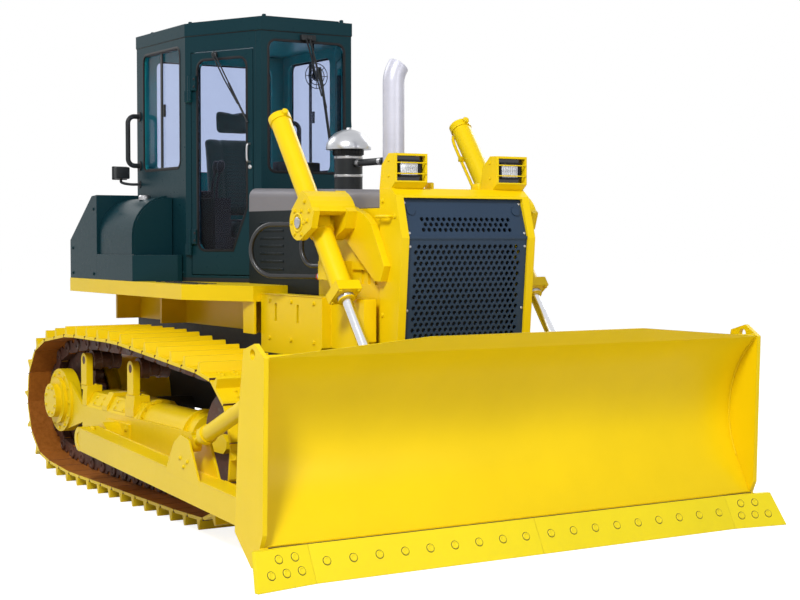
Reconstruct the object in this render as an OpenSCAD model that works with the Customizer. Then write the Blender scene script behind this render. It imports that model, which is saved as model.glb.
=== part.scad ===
// Bulldozer: straight tilting blade on outside push arms, enclosed cab, two track loops.
// X forward, Y left, Z up; z = 0 is the ground under the grouser tips. Sizes in millimetres.

/* [Track loops] */
// Distance between the middles of the two tracks
track_gauge = 1880; // [1800:10:1960]
// Width of a track shoe
shoe_w = 500; // [420:10:520]
// Number of shoes in one loop
shoe_n = 38; // [34:1:42]
// Height of a grouser tip above the link pin line
grouser_h = 108; // [96:1:116]
// Height of the shoe plate's face above the link pin line
plate_h = 56; // [50:1:64]
// Thickness of the shoe plate
plate_t = 18; // [12:1:22]
// Distance from the link pin line to the rail face the rollers run on
rail_h = 46; // [40:1:50]
// Thickness of one link rail
rail_t = 44; // [36:1:50]
// Half of the free width between the two link rails
rail_gap = 38; // [34:1:44]
// Sprocket axis
sprocket_x = -1614; // [-1640:1:-1590]
// Radius of the pin line on the sprocket
sprocket_r = 348; // [335:1:356]
// Height of the lowest pin on the sprocket above the ground run
sprocket_lift = 30; // [20:1:40]
// Number of sprocket teeth
tooth_n = 23; // [19:1:27]
// Idler axis
idler_x = 751; // [735:1:775]
// Radius of the pin line on the idler
idler_r = 338; // [325:1:345]
// Height of the lowest pin on the idler above the ground run
idler_lift = 8; // [2:1:16]
// First and last track roller axis
roller_x0 = -1210; // [-1230:1:-1190]
// Axis of the foremost track roller
roller_x1 = 400; // [380:1:410]
// Number of track rollers in a frame
roller_n = 6; // [5:1:6]
// Radius of the pin line under a track roller
roller_r = 140; // [132:1:146]
// Axes of the two carrier rollers
carrier_x0 = -1231; // [-1260:1:-1180]
// Axis of the front carrier roller
carrier_x1 = -459; // [-520:1:-400]
// Height of the carrier roller axes
carrier_z = 772; // [760:1:790]
// Radius of the pin line on a carrier roller
carrier_r = 115; // [108:1:120]

/* [Blade] */
// Front face of the cutting edge at the ground
edge_x = 2186; // [2170:1:2200]
// Height of the cutting edge strip
edge_h = 165; // [140:5:180]
// Thickness of the cutting edge along X
edge_t = 25; // [18:1:32]
// Lean of the cutting edge back from the vertical, in degrees
edge_lean = 28; // [24:1:32]
// Radius of the mouldboard's curve
mould_r = 520; // [480:5:560]
// Height of the deepest line of the mouldboard
mould_z = 600; // [570:5:630]
// Height of the mouldboard's upper corners
mould_top = 1016; // [980:2:1040]
// Height of the raised middle of the mouldboard
mould_mid = 1090; // [1060:2:1110]
// Thickness of the mouldboard skin
skin_t = 20; // [14:1:26]
// Distance of an end plate from the middle of the push arm
end_out = 196; // [186:2:206]
// Thickness of an end plate
end_t = 24; // [16:1:30]
// Reach of an end bit beyond the mouldboard
bit_out = 114; // [100:2:126]
// Width of an end bit
bit_w = 321; // [290:1:340]
// Half width of the raised middle
mid_hw = 640; // [560:10:700]
// Turn of the end bits forward, in degrees
bit_turn = 9.5; // [6:0.5:11]

/* [Push arms and tilt] */
// Trunnion axis on the track frame
trunnion_x = -620; // [-640:1:-600]
// Height of the trunnion axis
trunnion_z = 352; // [346:1:358]
// Front joint of a push arm
ball_x = 1780; // [1770:1:1790]
// Height of the front joint
ball_z = 216; // [208:1:224]
// Distance of a push arm's middle from the ends of the shoes
arm_gap = 92; // [86:1:100]
// Width of a push arm
arm_w = 125; // [110:1:128]
// Height of a push arm
arm_h = 136; // [120:1:140]
// Lower joint of the brace and of the tilt cylinder
brace_x0 = 900; // [880:5:920]
// Height of that joint
brace_z0 = 490; // [485:1:500]
// Upper joint of the brace and of the tilt cylinder
brace_x1 = 1800; // [1795:1:1805]
// Height of that joint
brace_z1 = 860; // [850:1:870]

/* [Lift cylinders] */
// Distance of a lift cylinder from the middle
lift_y = 600; // [595:1:606]
// Trunnion of the lift cylinder
lift_x = 985; // [975:1:995]
// Height of that trunnion
lift_z = 1630; // [1620:1:1640]
// Rod eye on the blade
eye_x = 1736; // [1730:1:1742]
// Height of the rod eye
eye_z = 640; // [630:1:650]
// Outside radius of the tube
tube_r = 57; // [50:1:60]
// Radius of the rod
rod_r = 28; // [22:1:32]
// Tube length behind the trunnion
tube_back = 735; // [690:5:760]
// Tube length in front of the trunnion
tube_front = 480; // [460:5:490]

/* [Nose and hood] */
// Half width of the radiator guard
guard_hw = 420; // [410:1:430]
// Half width of the grille
grille_hw = 375; // [360:1:380]
// Rear face of the radiator guard
guard_x0 = 1318; // [1300:1:1330]
// Foremost line of the nose
nose_x = 1539; // [1530:1:1545]
// Height of that line
nose_z = 1550; // [1530:2:1570]
// Height of the guard's top
guard_top = 1806; // [1796:1:1816]
// Height of the seam between hood and side panels
hood_z0 = 1705; // [1690:5:1720]
// Height of the hood at the cab
hood_z1 = 1848; // [1838:1:1856]
// Half width of the hood
hood_hw = 398; // [385:1:402]
// Top of the exhaust pipe
exhaust_top = 2500; // [2420:10:2560]
// Radius of the exhaust pipe
exhaust_r = 60; // [50:1:68]
// Height of the air cleaner's body above the nose
cleaner_h = 270; // [240:5:300]
// Radius of the air cleaner's body
cleaner_r = 81; // [70:1:90]
// Distance between the holes of the grille
hole_step = 34; // [30:1:40]

/* [Cab and deck] */
// Height of the roof
roof_z = 2885; // [2840:5:2920]
// Height of the roof's band
roof_t = 78; // [65:1:90]
// Front face of the cab
cab_x1 = -245; // [-255:1:-235]
// Half width of the cab's front face
cab_hw1 = 315; // [305:1:325]
// Corner where the angled door side begins
cab_xk = -807; // [-820:1:-795]
// Rear face of the cab
cab_x0 = -1590; // [-1610:1:-1570]
// Half width of the cab at the rear
cab_hw0 = 560; // [550:1:570]
// Thickness of the cab's walls
wall_t = 40; // [34:1:46]
// Height of the deck
deck_z = 1275; // [1265:1:1285]
// Depth of the deck's edge
deck_t = 90; // [70:5:100]
// Width of a side tank
tank_w = 278; // [260:2:300]
// Rear end of the deck
deck_x0 = -2100; // [-2120:5:-2080]
// Height of the door's sill over the deck
sill_h = 46; // [40:2:60]

/* [Hidden] */
$fn = 64;
// seam between pieces that lie against each other
seam = 0.3;
track_y = track_gauge / 2;
ground = grouser_h;
sprocket_z = ground + sprocket_lift + sprocket_r;
idler_z = ground + idler_lift + idler_r;
roller_z = ground + roller_r;
arm_y = track_y + shoe_w / 2 + arm_gap;
mould_hw = arm_y + end_out;
half_w = mould_hw + bit_out;
edge_hw = half_w - bit_w;

// circles of the pin line, taken anticlockwise as seen from the right: [x, z, radius]
belt = [
    [roller_x0, roller_z, roller_r],
    [roller_x1, roller_z, roller_r],
    [idler_x, idler_z, idler_r],
    [carrier_x1, carrier_z, carrier_r],
    [carrier_x0, carrier_z, carrier_r],
    [sprocket_x, sprocket_z, sprocket_r]
];
belt_n = len(belt);
function wrap(i) = (i + belt_n) % belt_n;
function ctr(i) = [belt[wrap(i)][0], belt[wrap(i)][1]];
function rad(i) = belt[wrap(i)][2];
function gap(i) = norm(ctr(i + 1) - ctr(i));
// direction of the outward normal on the straight run that leaves circle i
function run_a(i) = let(d = ctr(i + 1) - ctr(i))
    atan2(d[1], d[0]) - acos((rad(i) - rad(i + 1)) / gap(i));
function turn(a) = a - 360 * floor(a / 360);
function sweep(i) = turn(run_a(i) - run_a(i - 1) + 0.000001);
run_len = [for (i = [0 : belt_n - 1])
    each [sweep(i) * PI / 180 * rad(i), sqrt(pow(gap(i), 2) - pow(rad(i) - rad(i + 1), 2))]];
run_at = [for (i = 0, s = 0; i < len(run_len); s = s + run_len[i], i = i + 1) s];
loop_len = run_at[len(run_at) - 1] + run_len[len(run_len) - 1];
pitch = loop_len / shoe_n;
function dirv(a) = [cos(a), sin(a)];
function run_of(s) = len([for (c = run_at) if (c <= s + 0.0001) 1]) - 1;
function pin_in(s) = let(i = run_of(s), j = floor(i / 2), t = s - run_at[i])
    i % 2 == 0
        ? ctr(j) + rad(j) * dirv(run_a(j - 1) + t / rad(j) * 180 / PI)
        : ctr(j) + rad(j) * dirv(run_a(j)) + t * dirv(run_a(j) + 90);
pins = [for (k = [0 : shoe_n - 1]) pin_in(k * pitch)];
// a point of shoe k: share f along the shoe, height h out of the pin line
function on_shoe(k, f, h) = let(a = pins[k], b = pins[(k + 1) % shoe_n], u = (b - a) / norm(b - a))
    a + f * (b - a) + h * [u[1], -u[0]];
// a point at height h out of the pin that shoe k begins with
function on_pin(k, h) = let(d = pins[(k + 1) % shoe_n] - pins[(k + shoe_n - 1) % shoe_n], u = d / norm(d))
    pins[k] + h * [u[1], -u[0]];
shoe_form = [
    [0.04, plate_h - 6], [0.10, plate_h], [0.66, plate_h], [0.75, grouser_h],
    [0.83, grouser_h], [0.90, plate_h - 2], [0.96, plate_h - 6]
];
shoe_outer = [for (k = [0 : shoe_n - 1])
    each concat([on_pin(k, plate_h - 14)], [for (p = shoe_form) on_shoe(k, p[0], p[1])])];
shoe_inner = [for (k = [0 : shoe_n - 1]) on_pin(k, plate_h - plate_t)];
rail_outer = [for (k = [0 : shoe_n - 1]) on_pin(k, plate_h - plate_t + 3)];
rail_inner = [for (k = [0 : shoe_n - 1]) each [
    on_pin(k, 12 - rail_h), on_shoe(k, 0.12, -rail_h), on_shoe(k, 0.88, -rail_h)]];
function chord_r(r) = r * cos(pitch / (2 * r) * 180 / PI);
idler_tread = chord_r(idler_r) - rail_h - seam;
tooth_tip = sprocket_r + 6;
tooth_root = sprocket_r - 26;
sprocket_hw = rail_gap - 10;

// track frame, measured from the middle of its track
frame_hw = 150;
guard_t = 20;
frame_low = roller_z + roller_r - rail_h + 34;
frame_mid = frame_low + 108;
frame_top = frame_low + 198;
frame_x0 = sprocket_x + tooth_tip + 20;
spring_x = carrier_x1 + 110;
spring_r = 130;
spring_z = frame_top - spring_r;
frame_x1 = idler_x - idler_tread - 36;
hull_hw = 440;
hull_x0 = -1880;
hull_top = 1000;
hull_wall = 60;
cap_r = 150;
cover_r = 205;
nose_z0 = 520;
grille_z0 = 800;
grille_z1 = 1756;
engine_z0 = 560;
shoulder = 95;
pin_r = 26;

// blade profile, in X and Z
lean = tan(edge_lean);
mould_cx = edge_x - edge_t - lean * (mould_z - mould_r * sin(edge_lean)) + mould_r * cos(edge_lean);
flat_z = mould_z - mould_r * sin(edge_lean);
flat_x = mould_cx - mould_r * cos(edge_lean);
function skin_x(z) = flat_x + lean * (flat_z - z);
top_a = asin((mould_top - mould_z) / mould_r);
top_x = mould_cx - mould_r * cos(top_a);
back_x = mould_cx - mould_r - skin_t;
bit_len = (half_w - edge_hw) / cos(bit_turn);
front_x = edge_x + (half_w - edge_hw) * tan(bit_turn);
hitch_r = 66;
hitch_x = hitch_r - front_x;

// yellow side panels reach back to here, dark skirts behind them
panel_x = 640;
panel_t = 14;
deck_x1 = 250;
deck_plate = 14;
exhaust_x = 895;
exhaust_y = -75;
cleaner_x = 440;
cleaner_y = -100;

// the hood falls towards the nose
slope = atan((hood_z1 - guard_top + 4) / (guard_x0 - cab_x1));

// lift cylinder line
lift_d = [eye_x - lift_x, eye_z - lift_z];
lift_len = norm(lift_d);
lift_a = atan2(-lift_d[1], lift_d[0]);
yoke_in = lift_y - 141;
yoke_out = lift_y + 122;
panel_y = hood_hw + 8 + seam;
hose_x = lift_x - 95;
hose_z = lift_z - 255;
hose_r = 13;

// push arm and brace lines
arm_d = [ball_x - trunnion_x, ball_z - trunnion_z];
arm_len = norm(arm_d);
arm_a = atan2(-arm_d[1], arm_d[0]);
brace_d = [brace_x1 - brace_x0, brace_z1 - brace_z0];
brace_len = norm(brace_d);
brace_a = atan2(brace_d[1], brace_d[0]);
seat_x = cab_x0 + 320;
seat_h = 250;
back_share = 0.4925;
head_share = 0.158;
lamp_x = 1424;
lamp_y = 318;
lamp_hw = 98;
lamp_low = 38;
lamp_high = 166;
ear_y = 52;
ear_t = 18;
cheek_r = 94;
brace_pin_r = 22;
ear_reach = 80;
neck_r = 34;
eye_hw = 38;
trunnion_r = 40;
socket_r = 72;
ball_pin_r = 34;

// cab plan: corner points of the outside and of the inside
wall_len = norm([cab_x1 - cab_xk, cab_hw0 - cab_hw1]);
wall_a = atan2(cab_hw0 - cab_hw1, cab_x1 - cab_xk);
function wall_y(x, d) = cab_hw0 - d / cos(wall_a) - (x - cab_xk) * tan(wall_a);
cab_xi = cab_xk - wall_t * tan(wall_a / 2);
cab_outer = [[cab_x0, cab_hw0], [cab_xk, cab_hw0], [cab_x1, cab_hw1]];
cab_inner = [[cab_x0 + wall_t, cab_hw0 - wall_t], [cab_xi, cab_hw0 - wall_t],
    [cab_x1 - wall_t, wall_y(cab_x1 - wall_t, wall_t)]];
tank_in = 8;
tank_edge = 4;
cab_z0 = deck_z + 25;
cab_z1 = roof_z - roof_t;
deck_hw = cab_hw0 + tank_in + tank_w + tank_edge;
win_z0 = cab_z0 + 690;
win_z1 = cab_z1 - 57;
door_z0 = deck_z + sill_h;
door_z1 = cab_z1 - 110;
door_t0 = 52;
door_rim = 46;
door_low = 150;
door_t1 = wall_len - 66;
door_gap = 6;
hinge_out = 18;
hinge_z = [door_z0 + 190, door_z1 - 230];

yellow = [0.93, 0.66, 0.05];
teal = [0.13, 0.24, 0.27];
dark = [0.12, 0.13, 0.14];
steel = [0.55, 0.56, 0.57];
glass = [0.35, 0.5, 0.55, 0.5];

// a flat form drawn in X and Z, as thick as y0 to y1
module slab_y(pts, y0, y1) {
    translate([0, y1, 0]) rotate([90, 0, 0]) linear_extrude(y1 - y0) polygon(pts);
}

// a flat form drawn in Y and Z, as thick as x0 to x1
module slab_x(pts, x0, x1) {
    translate([x0, 0, 0]) rotate([90, 0, 90]) linear_extrude(x1 - x0) polygon(pts);
}

module box(x0, x1, y0, y1, z0, z1) {
    translate([x0, y0, z0]) cube([x1 - x0, y1 - y0, z1 - z0]);
}

// a round bar along Y
module bar_y(x, z, r, y0, y1) {
    translate([x, y1, z]) rotate([90, 0, 0]) cylinder(r = r, h = y1 - y0);
}

// the same form on both sides
module pair() {
    children();
    mirror([0, 1, 0]) children();
}

// a square window form with round corners, from its lower corner
module rounded(w, h, r) {
    translate([r, 0]) square([w - 2 * r, h]);
    translate([0, r]) square([w, h - 2 * r]);
    for (x = [r, w - r], y = [r, h - r]) translate([x, y]) circle(r);
}

// Hull and power

module main_frame() {
    inner = hull_hw - hull_wall;
    color(dark) {
        difference() {
            slab_y([[hull_x0, 470], [1180, 440], [guard_x0, nose_z0], [guard_x0, hull_top],
                [hull_x0, hull_top]], -hull_hw, hull_hw);
            box(-1080, guard_x0 - hull_wall, -inner, inner, 500, hull_top + 100);
        }
        for (x = [260, 960]) box(x, x + 90, -inner, inner, 490, engine_z0);
        box(hull_x0, -1120, -inner, inner, hull_top, deck_z - deck_t);
        slab_y([[hull_x0 - 80, 560], [hull_x0, 480], [hull_x0, hull_top], [hull_x0 - 80, hull_top - 40]],
            -330, 330);
    }
}

module engine_block() {
    color(dark) box(deck_x1 + 30, 1180, -290, 290, engine_z0, hood_z0 - 60);
}

module belly_shafts() {
    color(dark) pair() {
        bar_y(-1020, frame_low + 90, 70, hull_hw, track_y - frame_hw);
        box(330, 450, hull_hw, track_y - frame_hw, frame_low + 40, frame_low + 150);
    }
}

module drawbar() {
    color(yellow) difference() {
        union() {
            box(-2080, -1960, -150, 150, 500, 760);
            for (z = [540, 680]) {
                box(hitch_x, -2079, -hitch_r, hitch_r, z, z + 40);
                translate([hitch_x, 0, z]) cylinder(r = hitch_r, h = 40);
            }
        }
        translate([hitch_x, 0, 400]) cylinder(r = 25, h = 500);
    }
}

module deck() {
    t = deck_plate;
    step_y = hull_hw + 180;
    under = deck_z - t;
    web_r = 150;
    web_x = deck_x1 - web_r - 140;
    edge = [[deck_x0, -deck_hw], [cab_x1 + 15, -deck_hw], [deck_x1, -step_y], [deck_x1, step_y],
        [cab_x1 + 15, deck_hw], [deck_x0, deck_hw]];
    rim = [[deck_x0 + t, t - deck_hw], [cab_x1 + 12, t - deck_hw], [deck_x1 - t, 10 - step_y],
        [deck_x1 - t, step_y - 10], [cab_x1 + 12, deck_hw - t], [deck_x0 + t, deck_hw - t]];
    color(yellow) {
        translate([0, 0, under]) linear_extrude(t) polygon(edge);
        translate([0, 0, deck_z - deck_t]) linear_extrude(deck_t) difference() {
            polygon(edge);
            polygon(rim);
        }
        pair() {
            box(hull_x0, deck_x1 - 70, hull_hw - 40, hull_hw, hull_top, under);
            for (x = [hull_x0 + 20, -1100, deck_x1 - 130])
                box(x, x + 24, hull_hw, step_y - 8, hull_top, under);
            // web with a round inside corner under the deck's front
            difference() {
                box(web_x, deck_x1, step_y - 20, step_y - 6, hull_top, under);
                bar_y(web_x, under - web_r, web_r - 1, step_y - 30, step_y);
                box(web_x - 9, web_x + web_r - 1, step_y - 30, step_y, hull_top - 9, under - web_r);
            }
        }
    }
}

module fuel_tank() {
    top = deck_z + 557;
    side = [[deck_x0, deck_z], [deck_x0, deck_z + 258], [cab_x0 - 100, top - 6], [cab_x0 - 12, top],
        [cab_x0 - 12, deck_z]];
    color(teal) slab_y(side, tank_edge - deck_hw, deck_hw - tank_edge);
}

module side_tanks() {
    r = 245;
    rise = 120;
    x0 = cab_x0 - 11;
    x1 = cab_x0 + 590;
    z0 = deck_z + 166;
    y0 = cab_hw0 + tank_in;
    y1 = y0 + tank_w;
    color(teal) pair() {
        translate([0, 0, deck_z]) linear_extrude(z0 - deck_z) polygon([[x0, y0], [x0, y1], [x1 + 10, y1],
            [x1 + 150, y0 + 32], [x1 + 150, y0]]);
        intersection() {
            box(x0, x1, y0, y1 - 16, z0, z0 + 2 * r);
            union() {
                translate([x0, y1 - 16 - r, z0 + rise]) rotate([0, 90, 0]) cylinder(r = r, h = x1 - x0);
                box(x0, x1, y0, y1 - 16, z0, z0 + rise);
            }
        }
    }
}

module side_boxes() {
    t = 20;
    x0 = deck_x1 + 2;
    x1 = lift_x - 16;
    x2 = guard_x0 - seam;
    y0 = hull_hw + seam;
    y1 = hull_hw + 130;
    y2 = hull_hw + 75;
    z1 = deck_z - 44;
    color(yellow) pair() {
        difference() {
            slab_y([[x0, 900], [x0, z1], [x1, z1], [x1, 960], [x1 - 70, 900]], y0, y1);
            slab_y([[x0 + t, 880], [x0 + t, z1 - t], [x1 - t, z1 - t], [x1 - t, 972], [x1 - 75, 920]],
                y0 + t, y1 - t);
            for (x = [x0 + 170, x0 + 430]) box(x, x + 24, y1 - 2 * t, y1 + t, z1 - 150, z1 - 50);
        }
        // narrow front run beside the lift tube
        difference() {
            slab_y([[x1 - 1, 960], [x1 - 1, z1], [x2, z1], [x2, 1010], [x2 - 60, 960]], y0, y2);
            slab_y([[x1 + t, 940], [x1 + t, z1 - t], [x2 - t, z1 - t], [x2 - t, 1020], [x2 - 70, 980]],
                y0 + t, y2 - t);
        }
    }
}

// Nose, hood and what stands on it

module nose_form(d) {
    slab_y([[guard_x0, nose_z0], [guard_x0, guard_top - d], [guard_x0 + 112, guard_top - d],
        [nose_x - 61 - d, guard_top - 38 - d], [nose_x - d, nose_z], [nose_x - 55 - d, 900],
        [nose_x - 99 - d, nose_z0]], -guard_hw + d, guard_hw - d);
}

module radiator_guard() {
    color(yellow) difference() {
        nose_form(0);
        difference() {
            translate([-1, 0, 0]) nose_form(26);
            box(guard_x0 - 50, nose_x, -guard_hw, guard_hw, nose_z0 - 20, nose_z0 + 40);
        }
        box(guard_x0 + 80, nose_x + 20, -grille_hw, grille_hw, grille_z0, grille_z1);
        box(guard_x0 - 5, guard_x0 + 30, -grille_hw, grille_hw, nose_z0 + 80, guard_top - 30);
    }
}

module grille() {
    t = 10;
    hw = grille_hw - seam;
    fold = [nose_x - 24, nose_z];
    foot = [nose_x - 89, grille_z0 + 2];
    head = [nose_x - 91, grille_z1 - 6];
    row_h = hole_step * 0.85;
    rim = 26;
    low_h = norm(fold - foot);
    color(steel) {
        // strip over the fold
        slab_y([fold + [1, -9], fold + [t + 3, -9], fold + [t + 5, 0], fold + [t + 3, 9], fold + [1, 9]],
            -hw, hw);
        sheet_between(foot, fold) linear_extrude(t) difference() {
            translate([-hw, 0]) square([2 * hw, low_h]);
            holes(hw - rim, rim, floor((low_h - 2 * rim) / row_h), row_h);
        }
        sheet_between(fold, head) {
            linear_extrude(t) difference() {
                translate([-hw, 0]) square([2 * hw, norm(head - fold)]);
                holes(hw - 3 * rim, rim, 3, row_h);
            }
            for (x = [-hw + 44, hw - 44]) translate([x, norm(head - fold) - 66, 0])
                cylinder(r = 26, h = t + 6);
        }
    }
}

// rows of staggered six-sided holes over the half width hw, the first row at height z
module holes(hw, z, rows, row_h) {
    n = floor(2 * hw / hole_step) - 1;
    for (j = [0 : rows - 1], i = [0 : n - j % 2])
        translate([(i - (n - j % 2) / 2) * hole_step, z + (j + 0.5) * row_h])
            circle(r = hole_step * 0.37, $fn = 6);
}

// stands a form drawn flat, X across and Y up, on the slanted line from a to b
module sheet_between(a, b) {
    translate([a[0], 0, a[1]]) rotate([0, atan2(b[0] - a[0], b[1] - a[1]), 0]) rotate([90, 0, 90]) children();
}

module radiator() {
    color(dark) box(guard_x0 + 31, guard_x0 + 79, -grille_hw + 3, grille_hw - 3, engine_z0, 1700);
}

module headlamps() {
    in = lamp_hw - 12;
    color(yellow) pair() difference() {
        slab_y([[1310, guard_top], [1430, guard_top], [1466, guard_top + 30], [1466, guard_top + 178],
            [1400, guard_top + 180], [1330, guard_top + 120]], lamp_y - lamp_hw, lamp_y + lamp_hw);
        box(lamp_x, 1500, lamp_y - in, lamp_y + in, guard_top + lamp_low, guard_top + lamp_high);
    }
}

module lamp_lenses() {
    in = lamp_hw - 13;
    color(glass) pair() box(lamp_x, lamp_x + 12, lamp_y - in, lamp_y + in, guard_top + lamp_low + 1,
        guard_top + lamp_high - 1);
}

module hood() {
    side = hood_hw + 9;
    inner = hood_hw - panel_t;
    color(dark) {
        difference() {
            translate([cab_x1 + 4, 0, hood_z1]) rotate([0, slope, 0]) rotate([90, 0, 90])
                linear_extrude((guard_x0 - cab_x1 - 8) / cos(slope)) {
                    translate([-hood_hw, -240]) square([2 * hood_hw, 190]);
                    translate([50 - hood_hw, -60]) square([2 * hood_hw - 100, 60]);
                    for (y = [50 - hood_hw, hood_hw - 50]) translate([y, -50]) circle(50);
                }
            box(cab_x1 - 400, guard_x0 + 400, -side, side, hood_z0 - 300, hood_z0);
            box(cab_x1 + 30, guard_x0 - 30, -inner, inner, hood_z0 - 300, guard_top - 70);
            box(guard_x0 - seam, guard_x0 + 400, -side, side, hood_z0 - 300, hood_z1 + 200);
            box(cab_x1 - 400, cab_x1 + seam, -side, side, hood_z0 - 300, hood_z1 + 200);
        }
        // skirts between the cab and the side panels
        pair() {
            box(cab_x1 + 1, deck_x1 + 3, inner, hood_hw, deck_z, hood_z0 + 1);
            box(deck_x1 + 2, panel_x - seam, inner, hood_hw, hull_top + seam, hood_z0 + 1);
        }
    }
}

module engine_panels() {
    color(yellow) pair() difference() {
        box(panel_x, guard_x0 - seam, hood_hw - panel_t, hood_hw + 8, hull_top + seam, hood_z0);
        for (i = [0 : 2]) translate([guard_x0 - 70 * (3 - i), 0, 0])
            box(0, 34, hood_hw, hood_hw + 9, hood_z0 - 400, hood_z0 - 90);
    }
}

// everything below the hood's upper face
module under_hood() {
    translate([cab_x1 + 4, 0, hood_z1 + seam]) rotate([0, slope, 0]) translate([-100, -hood_hw, -400])
        cube([2000, 2 * hood_hw, 400]);
}

module exhaust_stack() {
    bend_r = 170;
    bend = 36;
    z0 = guard_top - 20;
    z1 = exhaust_top - bend_r * sin(bend);
    color(steel) translate([exhaust_x, exhaust_y, 0]) difference() {
        union() {
            translate([0, 0, z0]) cylinder(r = exhaust_r, h = z1 - z0);
            translate([0, 0, z0]) cylinder(r = exhaust_r + 16, h = 60);
            outlet(bend_r, bend, z1) circle(exhaust_r);
        }
        translate([-exhaust_x, -exhaust_y, 0]) under_hood();
        translate([0, 0, z1 - 200]) cylinder(r = exhaust_r - 5, h = 200);
        outlet(bend_r, bend + 2, z1) circle(exhaust_r - 5);
    }
}

// bends a round section from straight up towards the left
module outlet(r, a, z) {
    translate([0, r, z]) rotate([90, 0, -90]) rotate_extrude(angle = a) translate([r, 0]) children();
}

module air_cleaner() {
    rim_r = cleaner_r + 46;
    dome_h = 84;
    dome_r = (rim_r * rim_r + dome_h * dome_h) / (2 * dome_h);
    color(dark) difference() {
        translate([cleaner_x, cleaner_y, guard_top]) {
            cylinder(r = cleaner_r, h = cleaner_h);
            translate([0, 0, cleaner_h - 46]) cylinder(r = cleaner_r + 5, h = 24);
            translate([0, 0, cleaner_h - 1]) cylinder(r = rim_r, h = 13);
            intersection() {
                translate([0, 0, cleaner_h + 12 + dome_h - dome_r]) sphere(dome_r);
                translate([-rim_r, -rim_r, cleaner_h + 11]) cube([2 * rim_r, 2 * rim_r, 2 * dome_h]);
            }
            // dust pipe to the exhaust
            translate([0, 0, cleaner_h - 100]) rotate([0, 90, 0])
                cylinder(r = 20, h = exhaust_x - cleaner_x - exhaust_r - seam);
        }
        under_hood();
    }
}

// Cab

module cab_plan(pts) {
    polygon(concat(pts, [for (i = [len(pts) - 1 : -1 : 0]) [pts[i][0], -pts[i][1]]]));
}

module cab_walls() {
    translate([0, 0, cab_z0]) linear_extrude(cab_z1 - cab_z0) difference() {
        cab_plan(cab_outer);
        cab_plan(cab_inner);
    }
}

// brings a form drawn along the angled left door side to its place: X along the wall, Y inward
module on_door_side() {
    translate([cab_xk, cab_hw0, 0]) rotate([0, 0, -wall_a]) mirror([0, 1, 0]) children();
}

module door_window() {
    w = door_t1 - door_t0 - 2 * door_rim;
    h = door_z1 - door_z0 - door_low - door_rim;
    translate([door_t0 + door_rim, wall_t * 2, door_z0 + door_low]) rotate([90, 0, 0])
        linear_extrude(wall_t * 3) difference() {
            rounded(w, h, 60);
            polygon([[w + 1, -1], [w + 1, h * 0.22], [w * 0.72, -1]]);
        }
}

module side_window() {
    translate([cab_x0 + 110, cab_hw0 + 20, win_z0]) rotate([90, 0, 0]) linear_extrude(wall_t + 40)
        rounded(cab_xk - cab_x0 - 190, win_z1 - win_z0, 50);
}

module cab_side() {
    difference() {
        intersection() {
            cab_walls();
            box(cab_x0 + wall_t + seam, cab_x1 - wall_t - seam, 100, cab_hw0 + 50, deck_z, roof_z);
        }
        side_window();
        on_door_side() translate([door_t0 - door_gap, -20, door_z0 - door_gap])
            cube([door_t1 - door_t0 + 2 * door_gap, wall_t + 40, door_z1 - door_z0 + 2 * door_gap]);
    }
    for (z = hinge_z) on_door_side() {
        translate([door_t0 - 2, -hinge_out, z - 70]) cylinder(r = 13, h = 70 - seam);
        translate([door_t0 - 44, -hinge_out, z - 70]) cube([42, 10, 70 - seam]);
        translate([door_t0 - 44, -hinge_out, z - 70]) cube([26, hinge_out + 1, 70 - seam]);
    }
}

module cab_floor() {
    color(dark) translate([0, 0, deck_z]) linear_extrude(cab_z0 - deck_z) cab_plan(cab_outer);
}

module cab_side_left() {
    color(teal) cab_side();
}

module cab_side_right() {
    color(teal) mirror([0, 1, 0]) cab_side();
}

module front_window() {
    hw = cab_hw1 - 50;
    translate([cab_x1 - wall_t - 20, -hw, win_z0 - 40]) rotate([90, 0, 90]) linear_extrude(wall_t + 40)
        rounded(2 * hw, win_z1 - win_z0 + 40, 50);
}

module cab_front() {
    color(teal) difference() {
        intersection() {
            cab_walls();
            box(cab_x1 - wall_t, cab_x1 + 50, -cab_hw0, cab_hw0, deck_z, roof_z);
        }
        front_window();
    }
}

module rear_window() {
    hw = cab_hw0 - 130;
    translate([cab_x0 - 20, -hw, win_z0]) rotate([90, 0, 90]) linear_extrude(wall_t + 40)
        rounded(2 * hw, win_z1 - win_z0 - 20, 50);
}

module cab_rear() {
    color(teal) difference() {
        intersection() {
            cab_walls();
            box(cab_x0 - 50, cab_x0 + wall_t, -cab_hw0, cab_hw0, deck_z, roof_z);
        }
        rear_window();
    }
}

module cab_roof() {
    lip = 4;
    inset = 60;
    color(teal) {
        translate([0, 0, cab_z1]) linear_extrude(roof_t) cab_plan([[cab_x0 - lip, cab_hw0 + lip],
            [cab_xk + lip / 4, cab_hw0 + lip], [cab_x1 + lip, cab_hw1 + lip]]);
        translate([0, 0, roof_z - 1]) linear_extrude(17) cab_plan([[cab_x0 + inset, cab_hw0 - inset],
            [cab_xk - 26, cab_hw0 - inset], [cab_x1 - inset, cab_hw1 - 54]]);
        box(cab_x0 + 470, cab_x0 + 690, -40, 40, roof_z + 15, roof_z + 26);
    }
}

module pane_slot(x) {
    box(x, x + 8, -cab_hw0, cab_hw0, deck_z, roof_z);
}

module windscreen() {
    color(glass) intersection() {
        front_window();
        pane_slot(cab_x1 - 26);
    }
}

module rear_glass() {
    color(glass) intersection() {
        rear_window();
        pane_slot(cab_x0 + 16);
    }
}

module side_glass() {
    color(glass) pair() intersection() {
        side_window();
        box(cab_x0, cab_xk, cab_hw0 - 26, cab_hw0 - 18, deck_z, roof_z);
    }
}

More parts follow.
